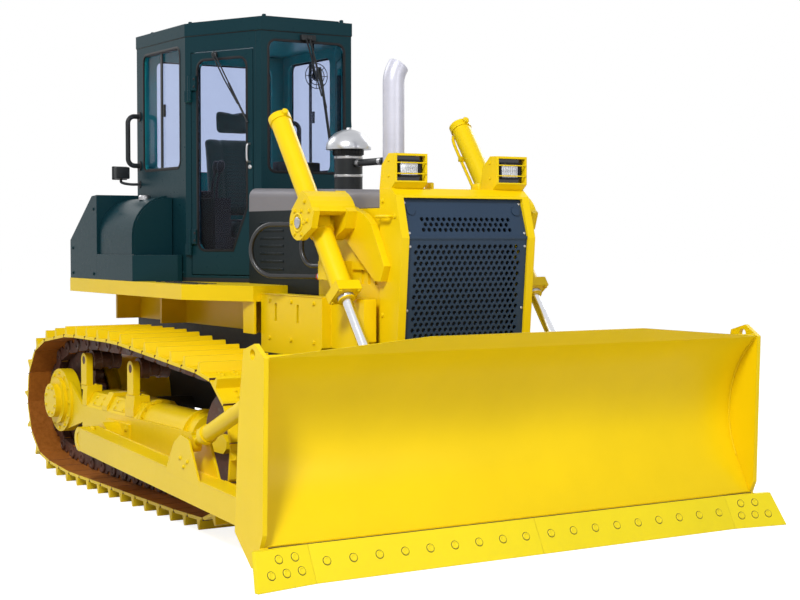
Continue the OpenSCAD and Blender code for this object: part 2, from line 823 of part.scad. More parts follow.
module door() {
    difference() {
        union() {
            on_door_side() translate([door_t0, 0, door_z0])
                cube([door_t1 - door_t0, wall_t - 4, door_z1 - door_z0]);
            for (z = hinge_z) on_door_side() {
                translate([door_t0 - 2, -hinge_out, z]) cylinder(r = 13, h = 90);
                translate([door_t0 - 2, -hinge_out, z]) cube([60, hinge_out + 2, 90]);
            }
        }
        on_door_side() door_window();
    }
}

module door_pane() {
    on_door_side() intersection() {
        door_window();
        translate([0, 14, deck_z]) cube([wall_len, 8, roof_z - deck_z]);
    }
}

module door_left() {
    color(teal) door();
}

module door_right() {
    color(teal) mirror([0, 1, 0]) door();
}

module door_glass_left() {
    color(glass) door_pane();
}

module door_glass_right() {
    color(glass) mirror([0, 1, 0]) door_pane();
}

module seat_base() {
    color(dark) {
        box(seat_x - 20, seat_x + 380, -220, 220, cab_z0, cab_z0 + seat_h);
        pair() box(seat_x - 50, seat_x + 510, 270, 380, cab_z0, cab_z0 + 2 * seat_h);
    }
}

module seat_cushions() {
    z0 = cab_z0 + seat_h;
    z1 = z0 + 120;
    z2 = z1 + back_share * (cab_z1 - z1);
    z3 = z2 + head_share * (cab_z1 - z1);
    color(dark) translate([seat_x, 0, 0]) {
        box(0, 480, -240, 240, z0, z1);
        slab_y([[0, z1 + seam], [120, z1 + seam], [40, z2], [-60, z2]], -230, 230);
        slab_y([[-60, z2 + seam], [20, z2 + seam], [-5, z3], [-75, z3]], -130, 130);
    }
}

module dashboard() {
    color(dark) slab_y([[cab_x1 - wall_t - 190, cab_z0], [cab_x1 - wall_t, cab_z0],
        [cab_x1 - wall_t, win_z0 - 70], [cab_x1 - wall_t - 110, win_z0 - 70],
        [cab_x1 - wall_t - 190, win_z0 - 190]], -250, 250);
}

module handrails() {
    r = 16;
    bend = 46;
    out = 84;
    x = cab_x0 + 44;
    low = win_z0 + 0.05 * (win_z1 - win_z0);
    top = win_z0 + 0.48 * (win_z1 - win_z0);
    color(dark) pair() translate([x, cab_hw0, 0]) {
        translate([0, out, low + bend]) cylinder(r = r, h = top - low - 2 * bend);
        for (end = [[low + bend, -90], [top - bend, 0]]) translate([0, out - bend, end[0]])
            rotate([90, 0, 90]) rotate([0, 0, end[1]]) rotate_extrude(angle = 90)
                translate([bend, 0]) circle(r = r);
        for (z = [low, top]) translate([0, 0, z]) rotate([-90, 0, 0]) {
            cylinder(r = r, h = out - bend);
            cylinder(r = 2 * r, h = 8);
        }
    }
}

// Lift cylinders and their brackets

module lift_brackets() {
    foot = [[1000, 1560], [1170, 1440], [1330, 1326], [1391, 1324], [1428, 1404], [1298, 1622],
        [1218, 1676], [1065, 1719], [940, 1720], [900, 1640]];
    bridge = [for (a = [20 : 11 : 75]) [lift_x, lift_z] + 112 * dirv(a)];
    bridge_out = [for (a = [75 : -11 : 20]) [lift_x, lift_z] + 172 * dirv(a)];
    cheek = [[lift_x + 14, lift_z - cheek_r + 1], [1130, 1600], [1160, 1690], [1030, 1800],
        [lift_x - 72, lift_z + 70]];
    color(yellow) pair() difference() {
        union() {
            slab_y(foot, guard_hw + seam, yoke_in + 1);
            for (y = [[yoke_in, lift_y - 80], [lift_y + 84, yoke_out]]) {
                slab_y(cheek, y[0], y[1]);
                bar_y(lift_x, lift_z, cheek_r, y[0], y[1]);
            }
            slab_y(concat(bridge, bridge_out), yoke_in, yoke_out);
            box(1030, 1290, panel_y, guard_hw + 1, 1380, 1540);
            // blocks that the lift hoses end on
            box(hose_x, lift_x - 40, yoke_in, lift_y - 80, lift_z - 55, lift_z + 25);
            box(hose_x, hose_x + 120, panel_y, yoke_in + 90, hose_z - 50, hose_z + 50);
        }
        bar_y(lift_x, lift_z, 34 + seam, guard_hw, yoke_out + 90);
    }
}

// brings a form drawn with its axis along X, trunnion at the origin, into the lift cylinder's line
module on_lift() {
    translate([lift_x, lift_y, lift_z]) rotate([0, lift_a, 0]) children();
}

module lift_tube() {
    head = tube_r + 12;
    difference() {
        union() {
            on_lift() rotate([0, 90, 0]) {
                translate([0, 0, -tube_back]) cylinder(r = tube_r, h = tube_back + tube_front);
                translate([-head, -head, tube_front - 56]) cube([2 * head, 2 * head, 56]);
                translate([0, 0, tube_front - 1]) cylinder(r = rod_r + 17, h = 27);
                translate([0, 0, -tube_back]) cylinder(r = tube_r + 6, h = 40);
                translate([0, 0, -70]) cylinder(r = tube_r + 12, h = 140);
            }
            bar_y(lift_x, lift_z, 34, lift_y - 140, lift_y + 122);
        }
        on_lift() rotate([0, 90, 0]) translate([0, 0, 40 - tube_back])
            cylinder(r = rod_r + seam, h = tube_back + tube_front);
    }
}

module lift_rod() {
    on_lift() {
        rotate([0, 90, 0]) translate([0, 0, 60]) cylinder(r = rod_r, h = lift_len - 100);
        difference() {
            translate([lift_len, 35, 0]) rotate([90, 0, 0]) cylinder(r = 50, h = 70);
            translate([lift_len, 40, 0]) rotate([90, 0, 0]) cylinder(r = 25, h = 80);
        }
    }
}

module lift_tube_left() {
    color(yellow) lift_tube();
}

module lift_tube_right() {
    color(yellow) mirror([0, 1, 0]) lift_tube();
}

module lift_rod_left() {
    color(steel) lift_rod();
}

module lift_rod_right() {
    color(steel) mirror([0, 1, 0]) lift_rod();
}

// a lift hose: two fittings on the yoke's rear edge and on its block, and a loop that leans outward by a
module hose(y, z, r, back, a) {
    fit = 44;
    for (h = [z, z - 2 * r]) translate([hose_x - seam, y, h]) rotate([0, -90, 0])
        cylinder(r = hose_r + 5, h = fit);
    translate([hose_x - fit + 10, y, z]) rotate([0, 0, -a]) {
        for (h = [0, -2 * r]) translate([0, 0, h]) rotate([0, -90, 0]) cylinder(r = hose_r, h = back);
        translate([-back, 0, -r]) rotate([90, 0, 0]) rotate([0, 0, 90]) rotate_extrude(angle = 180)
            translate([r, 0]) circle(hose_r);
    }
}

module hoses() {
    z = lift_z - 24;
    color(dark) pair() {
        hose(yoke_in + 21, z, 105, 110, 10);
        hose(yoke_in + 62, z + 18, 142, 300, 30);
    }
}

// Running gear, drawn on the left and mirrored

module track_loop() {
    translate([0, track_y, 0]) {
        slab_2d(shoe_outer, shoe_inner, shoe_w / 2, -shoe_w / 2);
        for (s = [-1, 1]) slab_2d(rail_outer, rail_inner, s * rail_gap + (s + 1) / 2 * rail_t,
            s * rail_gap + (s - 1) / 2 * rail_t);
    }
}

module slab_2d(outer, inner, y1, y0) {
    translate([0, y1, 0]) rotate([90, 0, 0]) linear_extrude(y1 - y0) difference() {
        polygon(outer);
        polygon(inner);
    }
}

module track_left() {
    color(yellow) track_loop();
}

module track_right() {
    color(yellow) mirror([0, 1, 0]) track_loop();
}

module track_frame() {
    m = track_y;
    hw = frame_hw;
    difference() {
        union() {
            slab_x([[m - hw, 185], [m - hw + guard_t, 185], [m - hw + guard_t, frame_low],
                [m + hw - guard_t, frame_low], [m + hw - guard_t, 185], [m + hw, 185], [m + hw, frame_mid],
                [m - hw, frame_mid]], frame_x0, frame_x1);
            slab_x([[m - hw, frame_mid], [m + hw, frame_mid], [m + shoulder, frame_top],
                [m - shoulder, frame_top]], frame_x0, spring_x);
            // round housing of the track spring, with its flanges
            intersection() {
                translate([0, m, spring_z]) rotate([0, 90, 0]) {
                    translate([0, 0, spring_x - 1]) cylinder(r = spring_r, h = frame_x1 - 40 - spring_x);
                    for (x = [spring_x - 1, frame_x1 - 160]) translate([0, 0, x])
                        cylinder(r = hw - 1, h = 30);
                }
                box(spring_x - 2, frame_x1, m - hw, m + hw, frame_low + 20, frame_top + hw);
            }
            for (s = [-1, 1]) slab_y([[frame_x1 - 1, idler_z - 50], [idler_x + 20, idler_z - 50],
                [idler_x + 60, idler_z - 20], [idler_x + 60, idler_z + 20], [idler_x + 20, idler_z + 50],
                [frame_x1 - 1, idler_z + 50]], m + s * 102 - 18, m + s * 102 + 18);
            // plate and round cover outside the sprocket
            slab_y([[frame_x0 + 1, frame_low], [frame_x0 + 1, frame_mid],
                [sprocket_x + 60, sprocket_z + cover_r - 12], [sprocket_x - 60, sprocket_z + cover_r - 12],
                [sprocket_x - 190, sprocket_z - 60], [sprocket_x - 40, sprocket_z - 190],
                [sprocket_x + 60, sprocket_z - 190]], m + hw - guard_t, m + hw);
            bar_y(sprocket_x, sprocket_z, cover_r, m + hw - 62, m + hw + 16);
            bar_y(trunnion_x, trunnion_z, 92, m + hw - 1, arm_y - arm_w / 2 - 20);
            bar_y(trunnion_x, trunnion_z, trunnion_r, m + hw, arm_y + arm_w / 2 - 4);
            slab_y([[trunnion_x - 190, trunnion_z - 80], [trunnion_x + 190, trunnion_z - 80],
                [trunnion_x + 190, trunnion_z + 90], [trunnion_x - 190, trunnion_z + 90]],
                m + hw - 1, m + hw + 16);
        }
        bar_y(sprocket_x, sprocket_z, cap_r + seam, m, m + 400);
    }
}

module track_frame_left() {
    color(yellow) track_frame();
}

module track_frame_right() {
    color(yellow) mirror([0, 1, 0]) track_frame();
}

module sprockets() {
    step = 360 / tooth_n;
    teeth = [for (i = [0 : tooth_n - 1]) each [tooth_root * dirv(step * (i - 0.34)),
        tooth_root * dirv(step * (i - 0.14)), tooth_tip * dirv(step * (i + 0.08)),
        tooth_tip * dirv(step * (i + 0.28)), tooth_root * dirv(step * (i + 0.50))]];
    color(steel) pair() translate([sprocket_x, track_y, sprocket_z]) {
        translate([0, sprocket_hw, 0]) rotate([90, 0, 0]) linear_extrude(2 * sprocket_hw) polygon(teeth);
        rotate([90, 0, 0]) translate([0, 0, sprocket_hw - 1]) cylinder(r = 210, h = 71);
        rotate([-90, 0, 0]) translate([0, 0, sprocket_hw - 1]) cylinder(r = 120, h = 41);
    }
}

module final_drives() {
    inner = track_y - sprocket_hw - 70;
    outer = track_y + sprocket_hw + 40;
    color(yellow) pair() {
        bar_y(sprocket_x, sprocket_z, 285, hull_hw, inner - 60);
        bar_y(sprocket_x, sprocket_z, 230, inner - 61, inner);
        bar_y(sprocket_x, sprocket_z, cap_r, outer, track_y + shoe_w / 2 - 60);
        bar_y(sprocket_x, sprocket_z, 110, track_y + shoe_w / 2 - 61, track_y + shoe_w / 2 - 20);
    }
}

module idlers() {
    color(steel) pair() {
        bar_y(idler_x, idler_z, idler_tread, track_y - 84, track_y + 84);
        bar_y(idler_x, idler_z, idler_tread + 22, track_y - sprocket_hw, track_y + sprocket_hw);
    }
}

module track_rollers() {
    r = roller_r - rail_h - 4;
    color(steel) pair() for (i = [0 : roller_n - 1]) {
        x = roller_x0 + (roller_x1 - roller_x0) * i / (roller_n - 1);
        bar_y(x, roller_z, r - 24, track_y - 104, track_y + 104);
        for (s = [-1, 1]) {
            bar_y(x, roller_z, r, track_y + s * 60 - 26, track_y + s * 60 + 26);
            bar_y(x, roller_z, r + 14, track_y + s * 96 - 9, track_y + s * 96 + 9);
        }
        bar_y(x, roller_z, 30, track_y - frame_hw + guard_t, track_y + frame_hw - guard_t);
    }
}

module carrier_rollers() {
    r = carrier_r - rail_h - 9;
    color(steel) pair() for (x = [carrier_x0, carrier_x1]) {
        bar_y(x, carrier_z, r - 10, track_y - 90, track_y + 90);
        for (s = [-1, 1]) bar_y(x, carrier_z, r, track_y + s * 62 - 28, track_y + s * 62 + 28);
        bar_y(x, carrier_z, pin_r, track_y + 90, track_y + 140);
    }
}

module carrier_brackets() {
    m = track_y;
    low = frame_mid + seam;
    top = frame_top + seam;
    post = 46;
    strap_x = (carrier_x0 + carrier_x1) / 2;
    color(yellow) pair() {
        for (x = [carrier_x0, carrier_x1]) {
            difference() {
                union() {
                    bar_y(x, carrier_z, post, m + 98, m + 142);
                    box(x - post, x + post, m + 98, m + 142, top + 10, carrier_z);
                }
                bar_y(x, carrier_z, pin_r + seam, m, m + 200);
            }
            // saddle on the frame's shoulder
            slab_x([[m + sprocket_hw + 16, top], [m + shoulder, top], [m + frame_hw, low],
                [m + frame_hw, low + 46], [m + 142, top + 40], [m + sprocket_hw + 16, top + 40]],
                max(x - 66, frame_x0 + 2), x + 66);
        }
        // strap over the frame between the brackets
        slab_x([[m - frame_hw, low], [m - shoulder, top], [m + shoulder, top], [m + frame_hw, low],
            [m + frame_hw, low + 30], [m + shoulder + 8, top + 22], [m - shoulder - 8, top + 22],
            [m - frame_hw, low + 30]], strap_x - 50, strap_x + 30);
    }
}

// Push arms, blade and tilt

// brings a form drawn along X from the trunnion into the push arm's line
module on_arm() {
    translate([trunnion_x, arm_y, trunnion_z]) rotate([0, arm_a, 0]) children();
}

module arm_caps() {
    color(yellow) pair() difference() {
        bar_y(trunnion_x, trunnion_z, socket_r, arm_y - arm_w / 2, arm_y + arm_w / 2);
        bar_y(trunnion_x, trunnion_z, trunnion_r + seam, arm_y - arm_w, arm_y + arm_w);
        on_arm() translate([-3, -arm_w, -200]) cube([400, 2 * arm_w, 400]);
    }
}

module push_arm() {
    w = arm_w / 2;
    h = arm_h / 2;
    difference() {
        union() {
            intersection() {
                bar_y(trunnion_x, trunnion_z, socket_r, arm_y - w, arm_y + w);
                on_arm() translate([3, -arm_w, -200]) cube([400, 2 * arm_w, 400]);
            }
            on_arm() translate([3, -w, -h]) cube([arm_len - 143, arm_w, arm_h]);
            on_arm() translate([arm_len - 141, -50, -60]) cube([140, 100, 120]);
            bar_y(ball_x, ball_z, 78, arm_y - 50, arm_y + 50);
            for (s = [-1, 1]) slab_y([[brace_x0 - 240, 320], [brace_x0 + 200, 290],
                [brace_x0 + 60, brace_z0 + 30], [brace_x0 - 40, brace_z0 + 46], [brace_x0 - 120, brace_z0]],
                arm_y + s * 57 - 6, arm_y + s * 57 + 6);
        }
        bar_y(trunnion_x, trunnion_z, trunnion_r + seam, arm_y - arm_w, arm_y + arm_w);
        intersection() {
            bar_y(ball_x, ball_z, ball_pin_r + 8, arm_y - arm_w, arm_y + arm_w);
            on_arm() translate([arm_len - ball_pin_r - seam, -arm_w, -100]) cube([200, 2 * arm_w, 200]);
        }
    }
}

module push_arm_left() {
    color(yellow) push_arm();
}

module push_arm_right() {
    color(yellow) mirror([0, 1, 0]) push_arm();
}

// strip that the cutting edge and the end bits are made from, shifted back by d
module edge_strip(y0, y1, d, t, z0) {
    slab_y([[edge_x - d - lean * z0, z0], [edge_x - d - lean * edge_h, edge_h],
        [edge_x - d - t - lean * edge_h, edge_h], [edge_x - d - t - lean * z0, z0]], y0, y1);
}

module mould_skin() {
    far = 3 * mould_r;
    difference() {
        intersection() {
            bar_y(mould_cx, mould_z, mould_r + skin_t, -mould_hw, mould_hw);
            slab_y([[mould_cx, mould_z], [mould_cx - far * cos(edge_lean), mould_z - far * sin(edge_lean)],
                [mould_cx - far, mould_z], [mould_cx - far * cos(top_a), mould_z + far * sin(top_a)]],
                -mould_hw, mould_hw);
        }
        bar_y(mould_cx, mould_z, mould_r, -mould_hw - 9, mould_hw + 9);
    }
    slab_y([[flat_x, flat_z], [skin_x(60), 60], [skin_x(60) - skin_t / cos(edge_lean), 60],
        [flat_x - skin_t * cos(edge_lean), flat_z - skin_t * sin(edge_lean)]], -mould_hw, mould_hw);
    intersection() {
        slab_y([[top_x, mould_top], [top_x + 70, mould_top + 84], [top_x + 54, mould_top + 97],
            [top_x - skin_t * cos(top_a), mould_top + skin_t * sin(top_a)]], -mould_hw, mould_hw);
        slab_x([[-mould_hw, mould_top - 60], [mould_hw, mould_top - 60], [mould_hw, mould_top + 4],
            [mid_hw, mould_mid], [-mid_hw, mould_mid], [-mould_hw, mould_top + 4]], 1800, 2400);
    }
}

module mouldboard() {
    low_box = [[skin_x(90) - 4, 90], [1940, 90], [back_x - 6, 150], [back_x - 6, 430], [back_x + 30, 470]];
    high_box = [[back_x + 10, 720], [back_x - 28, 790], [back_x - 20, 900], [back_x + 118, 960]];
    clip = [[mould_cx, mould_z], [flat_x, flat_z], [skin_x(60), 60], [2400, 60], [2400, 1200],
        [top_x, mould_top]];
    color(yellow) {
        mould_skin();
        difference() {
            union() {
                slab_y(low_box, -mould_hw, mould_hw);
                slab_y(high_box, -mould_hw, mould_hw);
                for (y = [-1010, -340, 340, 1010]) slab_y([[back_x - 6, 420], [back_x + 20, 420],
                    [back_x + 20, 800], [back_x - 26, 800]], y - 12, y + 12);
                // ears of the push arm joints, of the lift rods and of the braces
                for (s = [-1, 1]) {
                    for (d = [-78, 78]) difference() {
                        union() {
                            slab_y([[ball_x, ball_z - 76], [back_x + 60, ball_z - 90],
                                [back_x + 60, ball_z + 130], [ball_x, ball_z + 76]],
                                s * arm_y + d - 12, s * arm_y + d + 12);
                            bar_y(ball_x, ball_z, 76, s * arm_y + d - 12, s * arm_y + d + 12);
                        }
                    }
                    bar_y(ball_x, ball_z, ball_pin_r, s * arm_y - 100, s * arm_y + 100);
                    for (d = [-88, 88]) difference() {
                        union() {
                            slab_y([[eye_x, eye_z - 66], [back_x + 20, eye_z - 130],
                                [back_x + 20, eye_z + 110], [eye_x, eye_z + 66]],
                                s * lift_y + d - 11, s * lift_y + d + 11);
                            bar_y(eye_x, eye_z, 66, s * lift_y + d - 11, s * lift_y + d + 11);
                        }
                        bar_y(eye_x, eye_z, 25, s * lift_y + d - 20, s * lift_y + d + 20);
                    }
                }
                for (s = [-1, 1], d = [-ear_y, ear_y]) slab_y([[brace_x1 - 40, brace_z1 - 50],
                    [back_x + 60, brace_z1 - 90], [back_x + 80, brace_z1 + 70],
                    [brace_x1 - 20, brace_z1 + 50]], s * arm_y + d - ear_t / 2, s * arm_y + d + ear_t / 2);
            }
            slab_y(clip, -mould_hw - 9, mould_hw + 9);
            bar_y(mould_cx, mould_z, mould_r + skin_t - 3, -mould_hw - 9, mould_hw + 9);
            for (s = [-1, 1]) bar_y(brace_x1, brace_z1, brace_pin_r + seam, s * arm_y - 90, s * arm_y + 90);
        }
    }
}

module end_plates() {
    side = [[top_x + 6, mould_top + 2], [2030, mould_top + 62], [1920, mould_top + 30], [1870, 787],
        [1821, 200], [1988, 62], [skin_x(62) - 2, 62], [skin_x(edge_h) + 2, edge_h],
        [skin_x(edge_h) + 30, edge_h + 60]];
    color(yellow) pair() difference() {
        slab_y(side, mould_hw, mould_hw + end_t);
        bar_y(2010, mould_top + 12, 25, mould_hw - 9, mould_hw + end_t + 9);
    }
}

module cutting_edges() {
    color(steel) pair() edge_strip(1, edge_hw, 0, edge_t - seam, 0);
}

module end_bits() {
    color(steel) pair() intersection() {
        translate([edge_x, edge_hw, 0]) rotate([0, 0, -bit_turn]) translate([-edge_x, 0, 0]) difference() {
            edge_strip(-60, bit_len, 0, edge_t - seam, 0);
            translate([edge_x - 300, bit_len - 46, edge_h]) rotate([16, 0, 0]) translate([0, 0, -300])
                cube([600, 200, 600]);
        }
        difference() {
            box(edge_x - 400, edge_x + 400, edge_hw + 1, half_w + 100, -1, 2 * edge_h);
            edge_strip(0, half_w + 200, edge_t - seam, edge_x, -50);
        }
    }
}

// pin through the blade's ears
module brace_pin() {
    translate([0, ear_y + ear_t / 2, 0]) rotate([90, 0, 0]) cylinder(r = brace_pin_r, h = 2 * ear_y + ear_t);
}

module blade_brace() {
    color(yellow) mirror([0, 1, 0]) {
        translate([brace_x0, arm_y, brace_z0]) rotate([0, -brace_a, 0]) {
            rotate([0, 90, 0]) {
                translate([0, 0, 30]) cylinder(r = 22, h = 120);
                translate([0, 0, 140]) cylinder(r = 42, h = brace_len - ear_reach - 140);
                translate([0, 0, 140]) cylinder(r = 50, h = 44);
                translate([0, 0, brace_len - ear_reach - 130]) cylinder(r = 49, h = 36);
                translate([0, 0, brace_len - ear_reach - 1]) cylinder(r = neck_r, h = ear_reach - 29);
            }
            for (x = [0, brace_len]) translate([x, 22, 0]) rotate([90, 0, 0]) cylinder(r = 44, h = 44);
            translate([brace_len, 0, 0]) brace_pin();
        }
    }
}

module tilt_tube() {
    color(yellow) translate([brace_x1, arm_y, brace_z1]) rotate([0, 180 - brace_a, 0]) {
        difference() {
            union() {
                translate([0, eye_hw, 0]) rotate([90, 0, 0]) cylinder(r = 46, h = 2 * eye_hw);
                rotate([0, 90, 0]) translate([0, 0, 30]) cylinder(r = neck_r, h = ear_reach);
                rotate([0, 90, 0]) translate([0, 0, ear_reach]) cylinder(r = 56, h = 550 - ear_reach);
                rotate([0, 90, 0]) translate([0, 0, 500]) cylinder(r = 64, h = 50);
            }
            rotate([0, 90, 0]) translate([0, 0, ear_reach + 8]) cylinder(r = 26 + seam, h = 600);
        }
        brace_pin();
    }
}

module tilt_rod() {
    color(steel) translate([brace_x1, arm_y, brace_z1]) rotate([0, 180 - brace_a, 0]) {
        rotate([0, 90, 0]) translate([0, 0, 130]) cylinder(r = 26, h = brace_len - 150);
        translate([brace_len, 22, 0]) rotate([90, 0, 0]) cylinder(r = 40, h = 44);
    }
}

main_frame();
engine_block();
belly_shafts();
drawbar();
deck();
fuel_tank();
side_tanks();
side_boxes();
radiator_guard();
grille();
radiator();
headlamps();
lamp_lenses();
hood();
engine_panels();
exhaust_stack();
air_cleaner();
cab_floor();
cab_front();
cab_side_right();
cab_side_left();
cab_rear();
cab_roof();
windscreen();
side_glass();
rear_glass();
seat_base();
seat_cushions();
dashboard();
handrails();
lift_brackets();
track_frame_right();
track_frame_left();
track_right();
track_left();
sprockets();
final_drives();
idlers();
track_rollers();
carrier_rollers();
carrier_brackets();
hoses();
arm_caps();
push_arm_right();
push_arm_left();
mouldboard();
end_plates();
cutting_edges();
end_bits();
blade_brace();
tilt_tube();
tilt_rod();
lift_tube_right();
lift_tube_left();
lift_rod_right();
lift_rod_left();
door_right();
door_left();
door_glass_right();
door_glass_left();
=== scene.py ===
"""Looks of a bulldozer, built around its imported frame: paints, glass, fittings and a padded seat."""
from math import acos, asin, atan2, cos, exp, hypot, pi, radians, sin, sqrt, tan

import bmesh
import bpy
from mathutils import Matrix, Vector


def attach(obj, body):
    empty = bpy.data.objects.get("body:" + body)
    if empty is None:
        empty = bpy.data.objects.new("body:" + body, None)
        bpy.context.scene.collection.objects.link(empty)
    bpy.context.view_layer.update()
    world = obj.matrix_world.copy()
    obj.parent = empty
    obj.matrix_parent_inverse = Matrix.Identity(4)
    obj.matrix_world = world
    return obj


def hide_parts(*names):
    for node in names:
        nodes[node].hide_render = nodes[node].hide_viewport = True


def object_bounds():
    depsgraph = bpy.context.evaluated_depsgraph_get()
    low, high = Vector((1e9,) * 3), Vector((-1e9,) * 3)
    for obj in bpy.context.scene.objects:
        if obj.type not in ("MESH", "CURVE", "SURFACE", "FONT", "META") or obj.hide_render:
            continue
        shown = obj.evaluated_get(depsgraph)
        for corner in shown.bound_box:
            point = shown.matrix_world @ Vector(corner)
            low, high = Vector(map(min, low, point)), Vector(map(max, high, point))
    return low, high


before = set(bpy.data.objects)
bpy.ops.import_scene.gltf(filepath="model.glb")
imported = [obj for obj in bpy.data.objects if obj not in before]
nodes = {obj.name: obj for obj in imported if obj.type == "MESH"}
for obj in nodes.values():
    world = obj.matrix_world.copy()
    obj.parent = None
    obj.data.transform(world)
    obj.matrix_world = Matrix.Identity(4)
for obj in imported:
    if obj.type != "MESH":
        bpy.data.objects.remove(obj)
cad_low, cad_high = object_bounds()


def corners(name):
    """Low and high corner of a CAD node at rest, to the micrometre."""
    points = [nodes[name].matrix_world @ Vector(corner) for corner in nodes[name].bound_box]
    return [tuple(round(pick(axis), 6) for axis in zip(*points)) for pick in (min, max)]


# Camera, read from the photograph: place in metres, angles in degrees, focal length in pixels
CAMERA_AT = (8.375, -4.671, 1.555)
CAMERA_YAW = 148.2
CAMERA_PITCH = -2.28
FOCAL_PX = 1585.0
PHOTO_W = 800.0

# Colours, linear
YELLOW = (0.83, 0.585, 0.002)
YELLOW_EDGE = (0.82, 0.66, 0.012)
TEAL = (0.0050, 0.029, 0.038)
# painted light: a far lighter teal for the faces inside the cab, where the glass keeps the lamps out
CAB_INSIDE_LIGHT = (0.012, 0.25, 0.26)
HOOD_GREY = (0.205, 0.196, 0.211)
# painted shade: near black on the hood's sides below its seam
HOOD_SIDE_SHADE = (0.007, 0.011, 0.013)
DARK = (0.018, 0.019, 0.021)
BLUE_GREY = (0.020, 0.040, 0.075)
LINK_BROWN = (0.085, 0.030, 0.016)
RUBBED_LINK = (0.28, 0.20, 0.14)
# painted shade: the dark red-brown of the faces inside the track loops
SHOE_INNER_SHADE = (0.30, 0.095, 0.012)
STEEL = (0.42, 0.42, 0.43)
CHROME = (0.72, 0.73, 0.76)
SILVER = (0.52, 0.52, 0.60)
PRESSED = (0.50, 0.51, 0.54)
DUST = (0.30, 0.22, 0.11)
RUBBER = (0.007, 0.007, 0.008)
PLASTIC = (0.016, 0.018, 0.020)
CLOTH = (0.004, 0.038, 0.031)
# glass tint, partly its own and partly painted light: the blue of a sky seen through the cab
CAB_TINT_AND_SKY = (0.66, 0.72, 0.87)
LENS_WHITE = (0.80, 0.82, 0.85)
LENS_BACK = (0.012, 0.012, 0.014)
BAND_RED = (0.45, 0.02, 0.015)

# Sizes read from the frame, in metres
(_, TRACK_IN, _), (_, TRACK_OUT, _) = corners("track_left")
TRACK_Y = (TRACK_IN + TRACK_OUT) / 2
SHOE_W = TRACK_OUT - TRACK_IN
EDGE_X, EDGE_HW, EDGE_H = corners("cutting_edges")[1]
_, MOULD_HW, _ = corners("mouldboard")[1]
_, YOKE_OUT, _ = corners("lift_brackets")[1]
NOSE_X, GUARD_HW, GUARD_TOP = corners("radiator_guard")[1]
(CAB_X0, _, _), (CAB_X1, CAB_HW0, CAB_Z0) = corners("cab_floor")
_, _, CAB_Z1 = corners("cab_roof")[0]
(_, _, WIN_Z0), (_, _, WIN_Z1) = corners("side_glass")
(_, _, DOOR_Z0), (_, _, DOOR_Z1) = corners("door_left")
(DECK_X0, _, _), (_, DECK_HW, DECK_Z) = corners("deck")

# Track links and shoes: heights are over the pin line, widths from the track's middle
SHOE_N = 38
SHOE_TOP = 0.056
LINK_H = 0.046
LINK_IN = 0.038
LINK_OUT = 0.082
LINK_FORM = ((0.05, -0.8), (0.14, -1.02), (0.86, -1.02), (0.95, -0.8), (0.97, 0.0), (0.93, 0.8), (0.66, 0.8),
             (0.60, 0.35), (0.40, 0.35), (0.34, 0.8), (0.07, 0.8), (0.03, 0.0))
LINK_PIN = ((0.033, -0.006), (0.033, 0.008), (0.027, 0.011), (0.020, 0.011), (0.018, 0.006))
SHOE_JOINT = ((-0.010, 0.037), (0.010, 0.037), (0.010, 0.0572), (-0.010, 0.0572))

# Circles of the pin line as (x, z, radius), anticlockwise as seen from the right
SPROCKET = (-1.614, 0.486, 0.348)
CARRIERS = ((-0.459, 0.772, 0.115), (-1.231, 0.772, 0.115))
BELT = ((-1.210, 0.248, 0.140), (0.400, 0.248, 0.140), (0.751, 0.454, 0.338), *CARRIERS, SPROCKET)
LOOP_X = (-1.6, 0.75)
LOOP_Z = 0.47

# Track frames
FRAME_HW = 0.150
FRAME_TOP_HW = 0.095
FRAME_MID = 0.484
FRAME_TOP = 0.574
FRAME_COVER = FRAME_HW + 0.016
FRAME_COVERS_X = ((-1.08, -0.92), (-0.74, -0.56))
SPRING_Z = 0.444
SPRING_FLANGES = (-0.320, 0.283)
SPRING_BOLT_R = 0.1395
RIB_FORM = ((0.0595, -0.005), (0.0635, -0.004), (0.0635, 0.004), (0.0595, 0.005))

# Blade, with the circle of its curved face
EDGE_LEAN = radians(28.0)
BIT_TURN = radians(9.5)
MOULD_X = 2.4305
MOULD_Z = 0.600
MOULD_R = 0.520
MOULD_TOP = 1.016
RIB_X = 1.884
RIBS_Y = (0.340, 1.010)

# Push arms and lift cylinders, with their pivots as (x, z)
TRUNNION = (-0.620, 0.352)
BALL = (1.780, 0.216)
BRACE_FOOT = (0.90, 0.490)
ARM_Y = 1.282
ARM_W = 0.125
ARM_H = 0.136
LIFT = (0.985, 1.630)
EYE = (1.736, 0.640)
LIFT_Y = 0.600
TUBE_FRONT = 0.480  # from the pivot to the tube's head
HOSE_X = LIFT[0] - 0.095
HOSES = ((LIFT_Y - 0.120, LIFT[1] - 0.024, 0.105), (LIFT_Y - 0.079, LIFT[1] - 0.006, 0.142))  # y, z, bend

# Nose and hood
GRILLE_HW = 0.375
NOSE_FOLD = 1.550
LAMP_Y = 0.318
LAMP_Z = 1.908
LAMP_X = 1.437
HOOD_SEAM = 1.706
EXHAUST = (0.895, -0.075)
CLEANER = (0.440, -0.100)

# Cab and doors, where T is a distance along the slanted side from its rear corner
CAB_HW1 = 0.315  # half width at the front
CAB_XK = -0.807  # where the sides begin to slant
CAB_MID = (-0.92, 0.0, 2.05)
ROOF_Z = 2.885
DOOR_T0 = 0.052
DOOR_T1 = 0.547
DOOR_RIM = 0.046
DOOR_LOW = 0.150
WINDOW_R = 0.050
GASKET = ((-0.008, -0.006), (0.007, -0.006), (0.008, 0.001), (0.003, 0.004), (-0.007, 0.003))

# Tanks
TANK_FOLD = 1.533
TANK_TOP = 1.826
TANK_TOP_X = CAB_X0 - 0.100
SIDE_TANK_R = 0.2455
SIDE_TANK_Y = DECK_HW - 0.265
SIDE_TANK_Z = 1.561
SIDE_TANK_X = -1.010

X, Y, Z = Vector((1, 0, 0)), Vector((0, 1, 0)), Vector((0, 0, 1))
SIDES = (("right", -1.0), ("left", 1.0))


# Materials

